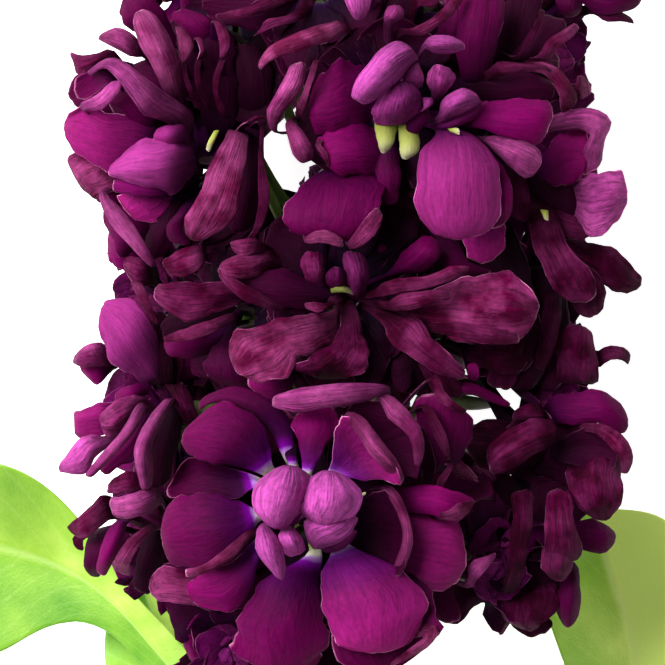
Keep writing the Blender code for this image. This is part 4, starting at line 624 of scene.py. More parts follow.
        (-23.6, 49.3, -23.3, 51.5, 47), (-24.5, 50.7, -24.6, 51.2, 45)]),
    Traced(15, 0.32, 1, [(-14.2, 52.2, -16.6, 51.8, 46), (-13.6, 49.5, -18.4, 49.9, 48),
        (-12.8, 46.4, -18.7, 47.2, 48), (-11.2, 44.5, -16.9, 45, 46)]),
    Traced(15, 0.04, 1, [(-14.3, 54.2, -14.3, 56.9, 43), (-19.7, 52.2, -19.7, 56.2, 44),
        (-25.1, 50.8, -25.1, 54.9, 43)]),
    Traced(11, 0.9, 1, [(-30.2, 38.3, -30.2, 42.5, 37), (-32.8, 38.1, -32.8, 42.9, 40),
        (-35.7, 38.1, -35.1, 42.5, 40), (-37, 38.6, -36.6, 41.9, 39), (-37, 40.5, -37.4, 41.3, 37)], ruffle=0.6),
    Traced(11, 0.76, 2, [(-27.8, 43.8, -28.1, 41.6, 39), (-30.1, 43.6, -30.1, 39.2, 42),
        (-32.2, 42.5, -32, 38.2, 42.5), (-33.6, 41.4, -33.4, 39.5, 41)], youth=0.15),
    Traced(11, 0.62, 1, [(-27.1, 44, -27.3, 45.4, 37), (-29.4, 43, -29.4, 45.2, 39), (-31.6, 43.1, -31.7, 44.2, 37)]),
    Traced(11, 1.08, 1.5, [(-33, 38.3, -31.9, 37.1, 39), (-35, 38.5, -33.9, 35.4, 42),
        (-36.6, 37.6, -35.3, 33.2, 42), (-37.8, 35.8, -37.5, 33.2, 41), (-39.2, 34.5, -39.3, 33.5, 39)], youth=0.6),
    Traced(11, 0.97, 0.8, [(-28.1, 42.8, -27, 41.7, 43), (-29.6, 40.1, -28.5, 39.1, 46),
        (-31.5, 37.7, -30.7, 36.6, 46), (-33.5, 35.5, -32.4, 34.7, 44), (-35.5, 33, -34.7, 32.6, 42)], youth=0.3),
    Traced(11, 0.7, 1, [(-26.3, 40.6, -27.9, 40.9, 42), (-27.8, 37.1, -29.7, 38.2, 44),
        (-30.3, 34.6, -31.7, 35.7, 43), (-32.6, 32.9, -33.7, 33.7, 41)]),
    Traced(11, 0.9, 2.5, [(-24.6, 43.3, -23.2, 43.3, 44), (-26.9, 40.2, -24.9, 39.9, 49),
        (-28.1, 37.3, -26, 37.3, 51), (-28.3, 34.6, -26, 34.3, 50), (-27.4, 31, -26.2, 31.5, 47)], youth=0.3),
    Traced(11, 0.06, 1, [(-21.8, 42.6, -25.2, 41.9, 41), (-22.7, 37.9, -26.5, 37.9, 42),
        (-24.1, 31.3, -27.1, 31.3, 41)]),
    Traced(13, 0.48, 0.5, [(-27.6, 32.7, -27.2, 31.1, 43), (-29.4, 33.8, -29.8, 30.9, 45),
        (-31.9, 32.6, -32.7, 30.7, 43)], ruffle=0.4),
    Traced(13, 0.88, 1.5, [(-25.6, 31.4, -25.1, 29.2, 44), (-27.6, 31.2, -26.8, 27.9, 48),
        (-29.7, 30.6, -29.2, 27.3, 48), (-32.1, 29.8, -31.5, 27.4, 45)], youth=0.3, ruffle=0.4),
    Traced(13, 0.66, 0.5, [(-32.5, 30.1, -31.7, 26.8, 38), (-34.5, 29, -33.7, 25.6, 41),
        (-36.4, 27.3, -35.9, 24.5, 41), (-38.3, 25.8, -37.7, 25.1, 38)]),
    Traced(13, 0.32, 1, [(-31.5, 26, -34.3, 25.3, 36), (-32.2, 23.4, -35.7, 23.4, 39),
        (-33, 20.7, -35.7, 20.5, 39), (-33.9, 18.7, -34.8, 18.8, 36)]),
    Traced(13, 0.62, 0.2, [(-37.3, 24.5, -35.7, 24.2, 36), (-37, 22.5, -35.9, 22.3, 36)]),
    Traced(13, 0.74, 1.5, [(-29.3, 26.7, -31, 26.8, 42), (-30.2, 24.1, -32.7, 24.4, 44.5),
        (-31.5, 21.4, -33.6, 21.9, 44), (-32.9, 19.1, -34, 19.8, 41)]),
    Traced(13, 0.72, 0.75, [(-26.4, 26.4, -25.5, 25.7, 44), (-28.9, 24.9, -27.6, 23.9, 48),
        (-30.6, 22.7, -28.9, 21.6, 48), (-32, 20.8, -29.4, 19.1, 44)]),
    Traced(13, 0.08, 1, [(-24.6, 25.6, -26.6, 25.6, 41), (-25.2, 21.5, -28.5, 21.5, 42),
        (-26.4, 16.5, -28.8, 17, 40)]),
    Traced(14, 0.3, -1.5, [(-15.9, 14.9, -20.8, 15.1, 44), (-14.8, 11.6, -20.4, 10.9, 45),
        (-15.6, 6.9, -19.2, 6.4, 43)]),
    Traced(14, 0.64, 1, [(-19.7, 15.5, -22.4, 15.6, 43), (-20.1, 11.6, -22.6, 12.3, 46),
        (-18.9, 6.5, -20.8, 7.5, 44)]),
    Traced(14, 1.05, 0.6, [(-14.2, 15.7, -15.3, 15, 46), (-14.6, 12.4, -16.6, 11, 47), (-16.1, 7.1, -18, 6.6, 45)]),
    Traced(14, 0.7, 0.05, [(-19.8, 14, -19.6, 14.6, 47), (-21.4, 12.4, -21.2, 12.9, 47)]),
]

# Leaves: where each grows from the stem along Y and its turn round the stem in degrees, its midrib's further
# points and its width in millimetres, the shares of its length between which the blade widens, its roll and
# the fold at its midrib in degrees, and how light its left and right halves are painted, for the light and
# shade that fall on the two halves
LeafRow = namedtuple("LeafRow", "along turn midrib width widening roll fold left right", defaults=(0.45, 0.55))
LEAVES = [LeafRow(*row) for row in (
    (-13, -90, [(-20, 0, 21), (-36, 16, 13), (-52, 22, 10), (-71, 25, 5)], 33, (0.4, 0.76), 22, 24, 0.1, 0.5),
    (-22, -90, [(-12, -14, 22), (-21, -3, 14), (-26, 8, 9), (-30, 17, 6)], 20, (0.1, 0.6), 0, 12, 0.1, 0.8),
    (-28, 90, [(18, -26, 19), (37, -14, 13), (42, 4, 10), (38, 19, 8), (36, 26, 4)], 27, (0.1, 0.6), -20, 20,
     0.6, 1.2),
    (-44, 90, [(18, -40, 26), (34, -36, 24), (56, -38, 16), (71, -40, 10)], 16, (0.1, 0.7), 0, 10),
    (-50, -90, [(-20, -44, 25), (-40, -36, 19), (-62, -34, 7)], 17, (0.1, 0.7), -6, 10),
    (-58, 0, [(-3, -50, 31), (-6, -34, 37), (-8, -20, 38)], 14, (0.1, 0.7), 0, 14),
    (-80, 90, [(20, -74, 19), (40, -70, 12), (58, -70, 4)], 16, (0.1, 0.7), 6, 10),
    (-90, -90, [(-18, -80, 17), (-34, -70, 13), (-50, -64, 5)], 14, (0.1, 0.7), 0, 10),
)]
LEAF_GRID = (25, 61)
LEAF_EDGES = (0.03, 0.006)
LEAF_STEPS = 120
LEAF_THICKNESS = 0.55 * MM
LEAF_THINNING = 0.5
LEAF_SEAT = 0.6 * MM
LEAF_FOOT = 0.06
LEAF_NECK = 0.16
LEAF_TIP = 0.88
LEAF_TIP_POWER = 3.6

# A leaf's waves at its margin, and its midrib, rounded and sunk above and raised below
LEAF_WAVE = 1.1 * MM
LEAF_WAVES = 14.0
LEAF_WAVE_SHIFT = 1.2
MIDRIB_ROUND = 0.006
MIDRIB_SUNK = 0.08
MIDRIB_RAISED = 0.9 * MM
MIDRIB_NARROWNESS = (2, 10)
MIDRIB_THINNING = 0.8

# Closed buds at the tip of the spike, from the lowest to the last
BUD_COUNT = 13
BUD_FIRST_Y = 122.0 * MM
BUD_CROWDING = 0.8
BUD_FIRST_TURN = 40.0
BUD_TURN = 137.5
BUD_LEAN = (35.0, 80.0)
BUD_LENGTH = (8.5 * MM, 4.0 * MM)
BUD_RADIUS = (2.5 * MM, 1.4 * MM)
BUD_REACH = (7.8 * MM, 1.5 * MM)
BUD_STALK_DROP = (5.0 * MM, 0.0)
BUD_STALK_RADIUS = 0.7 * MM
BUD_STALK_SWELL = 1.1
BUD_POINTS = 22
# Along a bud with its stalk: places as shares of the whole, and from the stalk on the radius as shares of the widest
BUD_SHARES = [0.0, 0.05, 0.33, 0.45, 0.62, 0.8, 0.94, 1.0]
BUD_BELLY = [0.8, 1.0, 0.85, 0.5, 0.12]
BUD_SIDES = 16
BUD_LOBES = 0.06

# What the stem's material reads: how deep among the petals a piece lies, which it paints as shade, and how flushed
# it is towards its tip
STEM_KIND = (0.0, 0.0, 0.0)
PEDICEL_KIND = (0.3, 0.0, 0.0)
SEPAL_KIND = (0.5, 0.9, 0.0)
BUD_PAINTED_SHADE = 0.6
BUD_FLUSH = 0.9
BUD_FLUSH_FALL = 0.05

# Camera: straight over the spike, at the middle of the photograph's field
VIEW_CENTRE = (-1.7 * MM, 52.5 * MM)
VIEW_HEIGHT = 545.0 * MM
VIEW_LENS = 200.0
VIEW_SENSOR = 36.0
VIEW_NEAR = 0.01

# A Mix node's factor and its two values among its inputs, its colour among its outputs, and what light does in
# green tissue
MIX_INPUTS = {"FLOAT": (0, 2, 3), "RGBA": (0, 6, 7)}
MIXED_COLOUR = 2
FLESH = {"Subsurface Radius": (0.5, 0.9, 0.1), "Subsurface Scale": 1.0 * MM}

# Stage: side and place of each soft light in metres, where they aim, and the glow of the floor and the studio
KEY_LAMP = (0.6, (-0.45, 0.35, 0.6))
FILL_LAMP = (0.8, (0.2, -0.1, 0.9))
LAMPS_AIM = Vector((0.0, 0.05, 0.03))
FLOOR_GLOW = 0.9
STUDIO_GLOW = 0.12


def linear(code):
    """Turn an sRGB hex colour into linear RGBA."""
    values = [int(code[start:start + 2], 16) / 255 for start in (1, 3, 5)]
    return tuple(v / 12.92 if v <= 0.04045 else ((v + 0.055) / 1.055) ** 2.4 for v in values) + (1.0,)


def smooth(x):
    """Ease from 0 to 1 as x goes from 0 to 1."""
    x = np.clip(x, 0.0, 1.0)
    return x * x * (3.0 - 2.0 * x)


def between(pair, share):
    """The value a share of the way from the first of a pair to the second."""
    return pair[0] + (pair[1] - pair[0]) * share


def curve_through(given, count):
    """Points on a smooth curve through the given ones."""
    padded = [2 * given[0] - given[1]] + given + [2 * given[-1] - given[-2]]
    spans = len(given) - 1
    result = []
    for index in range(count):
        place = spans * index / (count - 1)
        span = min(int(place), spans - 1)
        t = place - span
        a, b, c, d = padded[span:span + 4]
        bend = (2 * a - 5 * b + 4 * c - d) * t ** 2 + (3 * b - a - 3 * c + d) * t ** 3
        result.append(0.5 * (2 * b + (c - a) * t + bend))
    return result


def round_stem(degrees):
    """The direction out from the stem at a turn from straight up, towards +X."""
    turn = math.radians(degrees)
    return Vector((math.sin(turn), 0.0, math.cos(turn)))


def stem_centre(y):
    """The stem's axis at a place along Y."""
    fall = max((SPIKE_BASE_Y - y) / (SPIKE_BASE_Y - CUT_END_Y), 0.0)
    return Vector((0.0, y, SPIKE_HEIGHT - (SPIKE_HEIGHT - STEM_RADIUS) * fall ** STEM_BEND))


def stem_radius(y):
    """The stem thins towards the tip of the spike."""
    along = max((y - SPIKE_BASE_Y) / (SPIKE_TIP_Y - SPIKE_BASE_Y), 0.0)
    return between((STEM_RADIUS, STEM_TIP_RADIUS), along)


class Floret:
    """Where one floret sits, which way it faces and the planes it keeps behind."""

    def __init__(self, row):
        lean = math.radians(row.lean)
        self.row = row
        self.habit = HABITS[row.habit]
        self.out = round_stem(row.turn)
        self.axis = self.out * math.cos(lean) + TIPWARD * math.sin(lean)
        self.heart = stem_centre(row.along * MM) + self.out * row.reach * MM
        self.throat = self.heart - self.axis * HEART_ABOVE_THROAT
        self.foot = self.throat - self.axis * CALYX_LENGTH
        self.north = (TIPWARD - self.axis * TIPWARD.dot(self.axis)).normalized()
        self.east = self.north.cross(self.axis)
        self.planes = []

    def pedicel(self):
        """Points from the stem's axis out to the foot of the calyx."""
        root = stem_centre(self.foot.y - PEDICEL_DROP)
        bend = root + self.out * (self.foot - root).dot(self.out) * PEDICEL_BEND + TIPWARD * PEDICEL_DROP / 4
        return [root, bend, self.foot]


class Maker:
    """Collects blades and tubes, with what the materials read from them, into one mesh."""

    def __init__(self):
        self.points, self.faces, self.marks, self.kinds, self.count = [], [], [], [], 0

    def add(self, points, faces, marks, kind):
        """Add points and quads, with each point's reach, across and side, and one kind for all."""
        self.points.append(points)
        self.faces.append(faces + self.count)
        self.marks.append(marks)
        self.kinds.append(np.tile(kind, (len(points), 1)))
        self.count += len(points)

    def blade(self, middle, thickness, reach, across, kind, ridge=0.0):
        """A closed blade round a grid of middle points, thinned to nothing at its margin."""
        rows, columns = middle.shape[:2]
        normal = np.cross(np.gradient(middle, axis=1), np.gradient(middle, axis=0))
        normal /= np.maximum(np.linalg.norm(normal, axis=2, keepdims=True), TINY)
        half = (thickness / 2)[:, :, None] * normal
        top, bottom = middle + half, middle - half - ridge * normal
        top[0], top[-1], top[:, 0], top[:, -1] = middle[0], middle[-1], middle[:, 0], middle[:, -1]
        index = np.arange(rows * columns).reshape(rows, columns)
        under = index.copy()
        inner = (rows - 2) * (columns - 2)
        under[1:-1, 1:-1] = rows * columns + np.arange(inner).reshape(rows - 2, columns - 2)
        side = np.zeros((rows, columns))
        side[1:-1, 1:-1] = 1.0
        marks = np.stack([reach, across, side], axis=-1)
        low = marks[1:-1, 1:-1].reshape(-1, 3) * (1.0, 1.0, -1.0)
        quads = [np.stack([index[:-1, :-1], index[:-1, 1:], index[1:, 1:], index[1:, :-1]], axis=-1),
                 np.stack([under[:-1, :-1], under[1:, :-1], under[1:, 1:], under[:-1, 1:]], axis=-1)]
        self.add(np.concatenate([top.reshape(-1, 3), bottom[1:-1, 1:-1].reshape(-1, 3)]),
                 np.concatenate([q.reshape(-1, 4) for q in quads]),
                 np.concatenate([marks.reshape(-1, 3), low]), kind)

    def tube(self, points, radii, sides, kind, lobes=0.0):
        """A closed tube through the points, with a four-lobed section where it is given lobes."""
        points = [Vector(point) for point in points]
        ahead = [(b - a).normalized() for a, b in zip(points[:1] + points[:-1], points[1:] + points[-1:])]
        ahead[0] = (points[1] - points[0]).normalized()
        ahead[-1] = (points[-1] - points[-2]).normalized()
        across = ahead[0].orthogonal().normalized()
        rings, marks = [], []
        turns = np.arange(sides) * 2 * math.pi / sides
        for place, (point, way, radius) in enumerate(zip(points, ahead, radii)):
            across = (across - way * across.dot(way)).normalized()
            other = way.cross(across)
            swell = radius * (1.0 + lobes * np.cos(4 * turns))
            ring = np.outer(np.cos(turns) * swell, across) + np.outer(np.sin(turns) * swell, other)
            rings.append(ring + np.array(point))
            share = place / (len(points) - 1)
            marks.append(np.stack([np.full(sides, share), turns / math.pi - 1, np.ones(sides)], axis=-1))
        ends = np.array([points[0], points[-1]])
        ends_marks = np.array([[0.0, 0.0, 1.0], [1.0, 0.0, 1.0]])
        first = len(rings) * sides
        index = np.arange(first).reshape(len(rings), sides)
        near, far = index[:-1], index[1:]
        quads = np.stack([near, np.roll(near, -1, 1), np.roll(far, -1, 1), far], axis=-1).reshape(-1, 4)
        low = [(first, b, a, a) for a, b in zip(index[0], np.roll(index[0], -1))]
        high = [(first + 1, a, b, b) for a, b in zip(index[-1], np.roll(index[-1], -1))]
        self.add(np.concatenate(rings + [ends]), np.concatenate([quads, low, high]),
                 np.concatenate(marks + [ends_marks]), kind)

    def finish(self, name, material, nodes=()):
        """Make the mesh's object, with its material, and tie it to the model."""
        mesh = bpy.data.meshes.new(name)
        faces = np.concatenate(self.faces)
        corners = [list(f[:3]) if f[2] == f[3] else list(f) for f in faces.tolist()]
        mesh.from_pydata(np.concatenate(self.points).tolist(), [], corners)
        for label, values in (("marks", self.marks), ("kind", self.kinds)):
            data = mesh.attributes.new(label, "FLOAT_VECTOR", "POINT").data
            data.foreach_set("vector", np.concatenate(values).astype(np.float32).ravel())
        mesh.polygons.foreach_set("use_smooth", [True] * len(mesh.polygons))
        mesh.materials.append(material)
        thing = bpy.data.objects.new(name, mesh)
        bpy.context.scene.collection.objects.link(thing)
        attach(thing, "root")
        if nodes:
            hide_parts(*nodes)


def find_cell(floret, florets):
    """The planes that keep a floret's petals among its neighbours, each with its normal and its limit."""
    planes = []
    for other in florets:
        if other is not floret:
            away = other.heart - floret.heart
            others_share = other.row.size / (floret.row.size + other.row.size)
            clearance = away.length * others_share - CELL_SPREAD
            normal = away.normalized()
            planes.append((normal, normal.dot(floret.heart) + away.length - clearance))
    return planes


def florets_in_place():
    """Every floret with the planes that keep it among its neighbours."""
    florets = [Floret(row) for row in FLORETS]
    for floret in florets:
        floret.planes = find_cell(floret, florets)
    return florets


def press(points, normal, limit, band):
    """Press points softly back behind a plane, keeping their order along its normal."""
    past = np.maximum(points @ np.array(normal) - limit + band, 0.0)
    pressed = band * (1.0 - np.exp(-past / band))
    return points + (pressed - past)[..., None] * np.array(normal)


def over_floor(points):
    """Keep points above the table."""
    return press(points, -UP, -FLOOR_CLEAR, FLOOR_BAND)


def settle(points, floret):
    """Keep points of a floret inside its cell, above the table and in front of its calyx."""
    for normal, limit in floret.planes:
        points = press(points, normal, limit, CELL_BAND)
    if floret.row.habit != "under":
        points = press(points, UP, floret.heart.z - FRONT_DEPTH, CELL_BAND)
    return over_floor(points)


def spaced(count, tight):
    """Places from 0 to 1 that crowd at the margin, so that a blade's edge stays crisp."""
    return np.concatenate([np.linspace(0.0, 1.0, count - 1)[:-1], [1.0 - tight, 1.0]])


def blade_grid(grid, edge=0.035, tip=0.02):
    """Places across and along a blade, and how close the last ones lie to its side margins and its tip."""
    half = spaced(grid[0] // 2 + 1, edge)
    return np.concatenate([-half[:0:-1], half]), spaced(grid[1], tip)


def at_places(values, places, spine=SPINE):
    """Values along a spine at given places."""
    return np.stack([np.interp(places, spine, values[:, axis]) for axis in range(3)], axis=-1)


def wavy(rows, u, v, starts):
    """The sum of the waves of a table over a blade."""
    return sum(row.strength * np.sin(row.across * u + row.along * v + starts[row.start])
               * np.abs(u) ** row.wide * v ** row.long for row in rows)


def ruffled(u, v, starts):
    """How a blade waves up and down, most of all at its margins."""
    wide = np.abs(u)
    margins = wide ** MARGIN_RUFFLES_POWER * np.sin(MARGIN_RUFFLES * v + np.where(u > 0, starts[3], starts[4]))
    tip = wavy(TIP_RUFFLES, u, v, starts) * smooth((v - TIP_RUFFLES_FROM) / (1 - TIP_RUFFLES_FROM))
    return margins + tip * between((TIP_RUFFLES_MIDDLE, 1.0), wide) + wavy(RUFFLES, u, v, starts)


def nicked(u, v, starts, plump=1.0):
    """How far nicks set the tip back or forward across its width, the less the narrower it is."""
    inner = 1 - u ** NICKS_SIDE_POWER
    near_tip = smooth((v - NICKS_FROM) / (1 - NICKS_FROM))
    return wavy(NICKS, u, v, starts) * min(NICKS_KEPT * plump, 1.0) * inner * near_tip


def rounded(u):
    """How far a round tip falls short towards its sides."""
    return 1 - np.sqrt(1 - TIP_ROUNDNESS * u * u)


def in_window(points):
    """Whether a blade lies across one of the gaps that open between the florets, as seen from above."""
    scale = (VIEW_HEIGHT - WINDOW_LEVEL) / (VIEW_HEIGHT - points[..., 2])
    spots = np.array(VIEW_CENTRE) + (points[..., :2] - VIEW_CENTRE) * scale[..., None]
    return any((np.linalg.norm(spots - (x * MM, y * MM), axis=-1) < radius * MM).any() for x, y, radius in WINDOWS)


def ring_spine(petal, floret):
    """The spine of a petal in a ring: its points, and its upward and rightward ways."""
    tilts = np.radians(petal.rise + (petal.spread - petal.rise) * smooth(SPINE / SPREAD_BY)
                       - petal.tip * smooth((SPINE - TIP_ROLL_FROM) / (1 - TIP_ROLL_FROM)))
    step = petal.length * MM * SPINE[1]
    way = math.radians(petal.turn)
    outward = np.array(floret.east * math.sin(way) + floret.north * math.cos(way))
    right = np.array(floret.east * math.cos(way) - floret.north * math.sin(way))
    axis = np.array(floret.axis)
    radial = np.cumsum(np.sin(tilts)) * step + petal.foot * MM
    height = np.cumsum(np.cos(tilts)) * step - CLAW_SUNK
    points = np.array(floret.throat) + np.outer(radial, outward) + np.outer(height, axis)
    above = np.outer(np.sin(tilts), axis) - np.outer(np.cos(tilts), outward)
    return points, above, np.tile(right, (len(SPINE), 1))


def ring_points(petal, floret, rng, across, reach):
    """The middle surface of a petal in a ring, as rows of points from claw to tip."""
    centre, above, right = ring_spine(petal, floret)
    u, v = np.meshgrid(across, reach)
    wide, margin_side = np.abs(u), np.sign(u)
    starts = [rng.uniform(0, 2 * math.pi) for _ in range(STARTS)]
    blade = np.clip((v - CLAW_END) / (1 - CLAW_END), 0.0, 1.0)
    length = np.linalg.norm(np.diff(centre, axis=0), axis=1).sum() / SPINE[-1] * (1 - CLAW_END)
    plump = petal.width * MM / 2 / length
    full = np.clip(BLADE_FULL * plump, *BLADE_FULL_SHARE)
    outline = CLAW_WIDTH + (1 - CLAW_WIDTH) * np.sin(math.pi / 2 * np.minimum(blade / full, 1.0)) ** BLADE_POWER
    outline = outline * (1 - TIP_NARROWING * smooth((v - NARROWING_FROM) / (1 - NARROWING_FROM)))
    outline = outline * (1 + LOPSIDED * math.sin(starts[2]) * margin_side * wide)
    half = petal.width * MM / 2 * outline * (1 + wavy(RING_MARGIN, margin_side, v, starts))
    blunt = np.clip(plump, *TIP_SHARE) * (1 - CLAW_END)
    along = v * (1 - blunt * rounded(u) * v * v) + nicked(u, v, starts)
    # The section across the blade: cupped, with rolled margins, then ruffled and twisted
    open_blade = smooth((v - CLAW_END) / OPEN_OVER)
    roll = np.where(u > 0, petal.roll[1], petal.roll[0])
    lift = np.radians(petal.cup * wide + roll * smooth((wide - MARGIN_FROM) / (1 - MARGIN_FROM))) * open_blade
    turn = (lift[:, 1:] + lift[:, :-1]) / 2
    steps = np.diff(across)
    outer = np.sign(across[1:] + across[:-1])
    middle = len(across) // 2
    side, rise = (np.concatenate([np.zeros((len(reach), 1)), np.cumsum(part, axis=1)], axis=1)
                  for part in (np.cos(turn) * steps, np.sin(turn) * outer * steps))
    side = (side - side[:, middle:middle + 1]) * half
    rise = (rise - rise[:, middle:middle + 1]) * half + petal.ruffle * MM * ruffled(u, v, starts) * open_blade
    twist = np.radians(petal.twist) * v
    side, rise = side * np.cos(twist) - rise * np.sin(twist), side * np.sin(twist) + rise * np.cos(twist)
    sideways = side[..., None] * at_places(right, along) + rise[..., None] * at_places(above, along)
    return at_places(centre, along) + sideways


def traced_points(traced, floret, rng, across, reach):
    """The middle surface of a lofted petal, from the floret's throat on, and the share that is claw."""
    middles, sides = [], []
    for left_x, left_y, right_x, right_y, height in traced.rows:
        middles.append(Vector(((left_x + right_x) / 2, (left_y + right_y) / 2, height)) * MM)
        sides.append(Vector(((right_x - left_x) / 2, (right_y - left_y) / 2, 0.0)) * MM)
    feet = []
    if traced.claw < 1:
        foot = floret.throat + (middles[0] - floret.throat) * CLAW_FOOT
        feet = [foot]
        long_by = (middles[0] - foot).length - CLAW_FREE
        if long_by > 0:
            feet.append(foot.lerp(middles[0], CLAW_DIVES_AT) - UP * min(CLAW_DIVE_SHARE * long_by, CLAW_DIVE))
    count = TRACE_STEPS * (len(middles) + len(feet) - 1) + 1
    centre = np.array(curve_through(feet + middles, count))
    side = np.array(curve_through([sides[0].normalized() * CLAW_HALF] * len(feet) + sides, count))
    run = np.concatenate([[0.0], np.cumsum(np.linalg.norm(np.diff(centre, axis=0), axis=1))])
    claw = run[TRACE_STEPS * len(feet)] / run[-1]
    centre, side = (at_places(line, SPINE * run[-1], run) for line in (centre, side))
    u, v = np.meshgrid(across, reach)
    starts = [rng.uniform(0, 2 * math.pi) for _ in range(STARTS)]
    half = np.linalg.norm(side, axis=1)
    cap = min(half[-1] / run[-1], TRACE_TIP_SHARE)
    along = v * (1 - cap * rounded(u) * v ** 3) + nicked(u, v, starts, cap)
    open_blade = smooth((v - claw) / (1 - claw) / TRACE_OPEN_OVER + TRACE_OPEN_FROM)
    lively = open_blade * min(MARGIN_CALM + 2 * traced.ruffle, MARGIN_LIVELY)
    uneven = 1 + lively * wavy(TRACED_MARGIN, np.sign(u), v, starts)
    points = at_places(centre, along) + at_places(side, along) * (u * uneven)[..., None]
    fullness = np.interp(along, SPINE, half) / half.max()
    ruffle = traced.ruffle * TRACE_RUFFLE * min(half.max() / RUFFLED_HALF, 1.0) * ruffled(u, v, starts) * open_blade
    rise = -traced.bulge * u * u * fullness + ruffle
    return points + rise[..., None] * MM * np.array(UP), claw


def draw_petal(ring, turn, size, rng):
    """One petal of a ring, with its own small differences."""
    def pick(pair):
        return rng.uniform(*pair)
    return Petal(turn + rng.uniform(-TURN_SPREAD, TURN_SPREAD), pick(ring.length) * size, pick(ring.width) * size,
                 ring.foot, pick(ring.rise), pick(ring.spread), pick(ring.cup), (pick(ring.roll), pick(ring.roll)),
                 pick(ring.tip), rng.uniform(-ring.twist, ring.twist), ring.ruffle * pick(RUFFLE_SPREAD),
                 ring.youth)


def petal_list(floret, rng):
    """All the ringed petals of a floret, ring by ring."""
    petals = []
    start = rng.uniform(0, 360)
    for ring in floret.habit.rings:
        petals += [draw_petal(ring, start + 360 * k / ring.count, floret.row.size, rng) for k in range(ring.count)]
        start += 180 / ring.count + rng.uniform(-RING_SPREAD, RING_SPREAD)
    return petals


def add_petal(maker, points, across, reach, claw, kind, hidden=0.0):
    """Give a petal's middle surface its thickness and its marks, with its claw's colours left out if hidden."""
    u, v = np.meshgrid(across, reach)
    thickness = PETAL_THICKNESS * (1.0 - PETAL_THINNING * np.maximum(np.abs(u), v) ** 3)
    past_claw = CLAW_MARK + (1 - CLAW_MARK) * (v - claw) / (1 - claw)
    share = np.where(v < claw, v / max(claw, TINY) * CLAW_MARK, past_claw)
    maker.blade(points, thickness, hidden + (1 - hidden) * share, u, kind)


def grow_floret(index, floret, material):
    """One double floret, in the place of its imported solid."""
    rng = random.Random(PETAL_SEED + index)
    across, reach = blade_grid(floret.habit.grid)
    maker = Maker()
    for petal in petal_list(floret, rng):
        points = settle(ring_points(petal, floret, rng, across, reach), floret)
        tone = floret.habit.tone * rng.uniform(*TONE_SPREAD)
        if not in_window(points):
            add_petal(maker, points, across, reach, CLAW_END, (tone, petal.youth, 0.0))
    across, reach = blade_grid(TRACED_GRID)
    for traced in TRACED:
        if traced.floret == index + 1:
            points, claw = traced_points(traced, floret, rng, across, reach)
            hidden = 0.0 if traced.claw else CLAW_HIDDEN
            add_petal(maker, over_floor(points), across, reach, claw, (traced.tone, traced.youth, traced.claw), hidden)
    name = f"floret_{index + 1:02d}"
    maker.finish(f"double_{name}", material, [name])


def grow_calyx(floret, maker):
    """A pedicel with four upright sepals that hold the petals' claws."""
    last = floret.throat - floret.axis * CALYX_LENGTH * PEDICEL_SHORT_OF_THROAT
    points = curve_through(floret.pedicel() + [last], PEDICEL_POINTS)
    swells = [1.0 + PEDICEL_TOP_SWELL * smooth((k - PEDICEL_SWELLS_AT) / PEDICEL_SWELLS_OVER)
              for k in range(PEDICEL_POINTS)]
    radii = [PEDICEL_RADIUS * swell for swell in [PEDICEL_FOOT_SWELL] + swells[1:]]
    maker.tube(points, radii, PEDICEL_SIDES, PEDICEL_KIND)
    u, v = np.meshgrid(*blade_grid(SEPAL_GRID, *SEPAL_EDGES))
    # A sepal stands out from the axis, wide in the middle, and wraps part of the way round
    out = SEPAL_FOOT + SEPAL_BULGE * np.sin(np.minimum(v * SEPAL_BULGE_RISE, SEPAL_BULGE_END)) - SEPAL_TIP_IN * v ** 3
    width = SEPAL_HALF_WIDTH * np.sin(np.pi * between(SEPAL_WAVE, v)) ** SEPAL_WAVE_POWER
    turn = u * width / np.maximum(out, SEPAL_LEAST_OUT)
    radial = out * np.cos(turn * SEPAL_WRAP) * MM
    side = out * np.sin(turn * SEPAL_WRAP) * MM * SEPAL_ROUND
    height = v * (CALYX_LENGTH + SEPAL_OVER_THROAT)
    for k in range(SEPALS):
        way = math.radians(SEPAL_TURN + 360 / SEPALS * k)
        local = np.stack([radial * math.sin(way) + side * math.cos(way),
                          radial * math.cos(way) - side * math.sin(way), height], axis=-1)
        points = np.array(floret.foot) + local @ np.array([floret.east, floret.north, floret.axis])
        maker.blade(points, np.full(u.shape, SEPAL_THICKNESS), v, u, SEPAL_KIND)


def grow_bud(index, maker):
    """A closed bud on its short stalk near the tip of the spike."""
    share = index / (BUD_COUNT - 1)
    y = between((BUD_FIRST_Y, SPIKE_TIP_Y), share ** BUD_CROWDING)
    out = round_stem(BUD_FIRST_TURN + BUD_TURN * index)
    lean = math.radians(between(BUD_LEAN, share))
    run = (out * math.cos(lean) + TIPWARD * math.sin(lean)) * between(BUD_LENGTH, share)
    root = stem_centre(y - between(BUD_STALK_DROP, share))
    foot = stem_centre(y) + out * between(BUD_REACH, share)
    points = curve_through([root, foot, foot + run * 0.5, foot + run], BUD_POINTS)
    widths = [0.0, BUD_STALK_RADIUS, BUD_STALK_RADIUS * BUD_STALK_SWELL]
    widths += [between(BUD_RADIUS, share) * belly for belly in BUD_BELLY]
    radii = np.interp(np.linspace(0, 1, BUD_POINTS), BUD_SHARES, widths)
    radii[0] = BUD_STALK_RADIUS
    maker.tube(points, radii, BUD_SIDES, (BUD_PAINTED_SHADE, BUD_FLUSH - BUD_FLUSH_FALL * index, 0.0), BUD_LOBES)


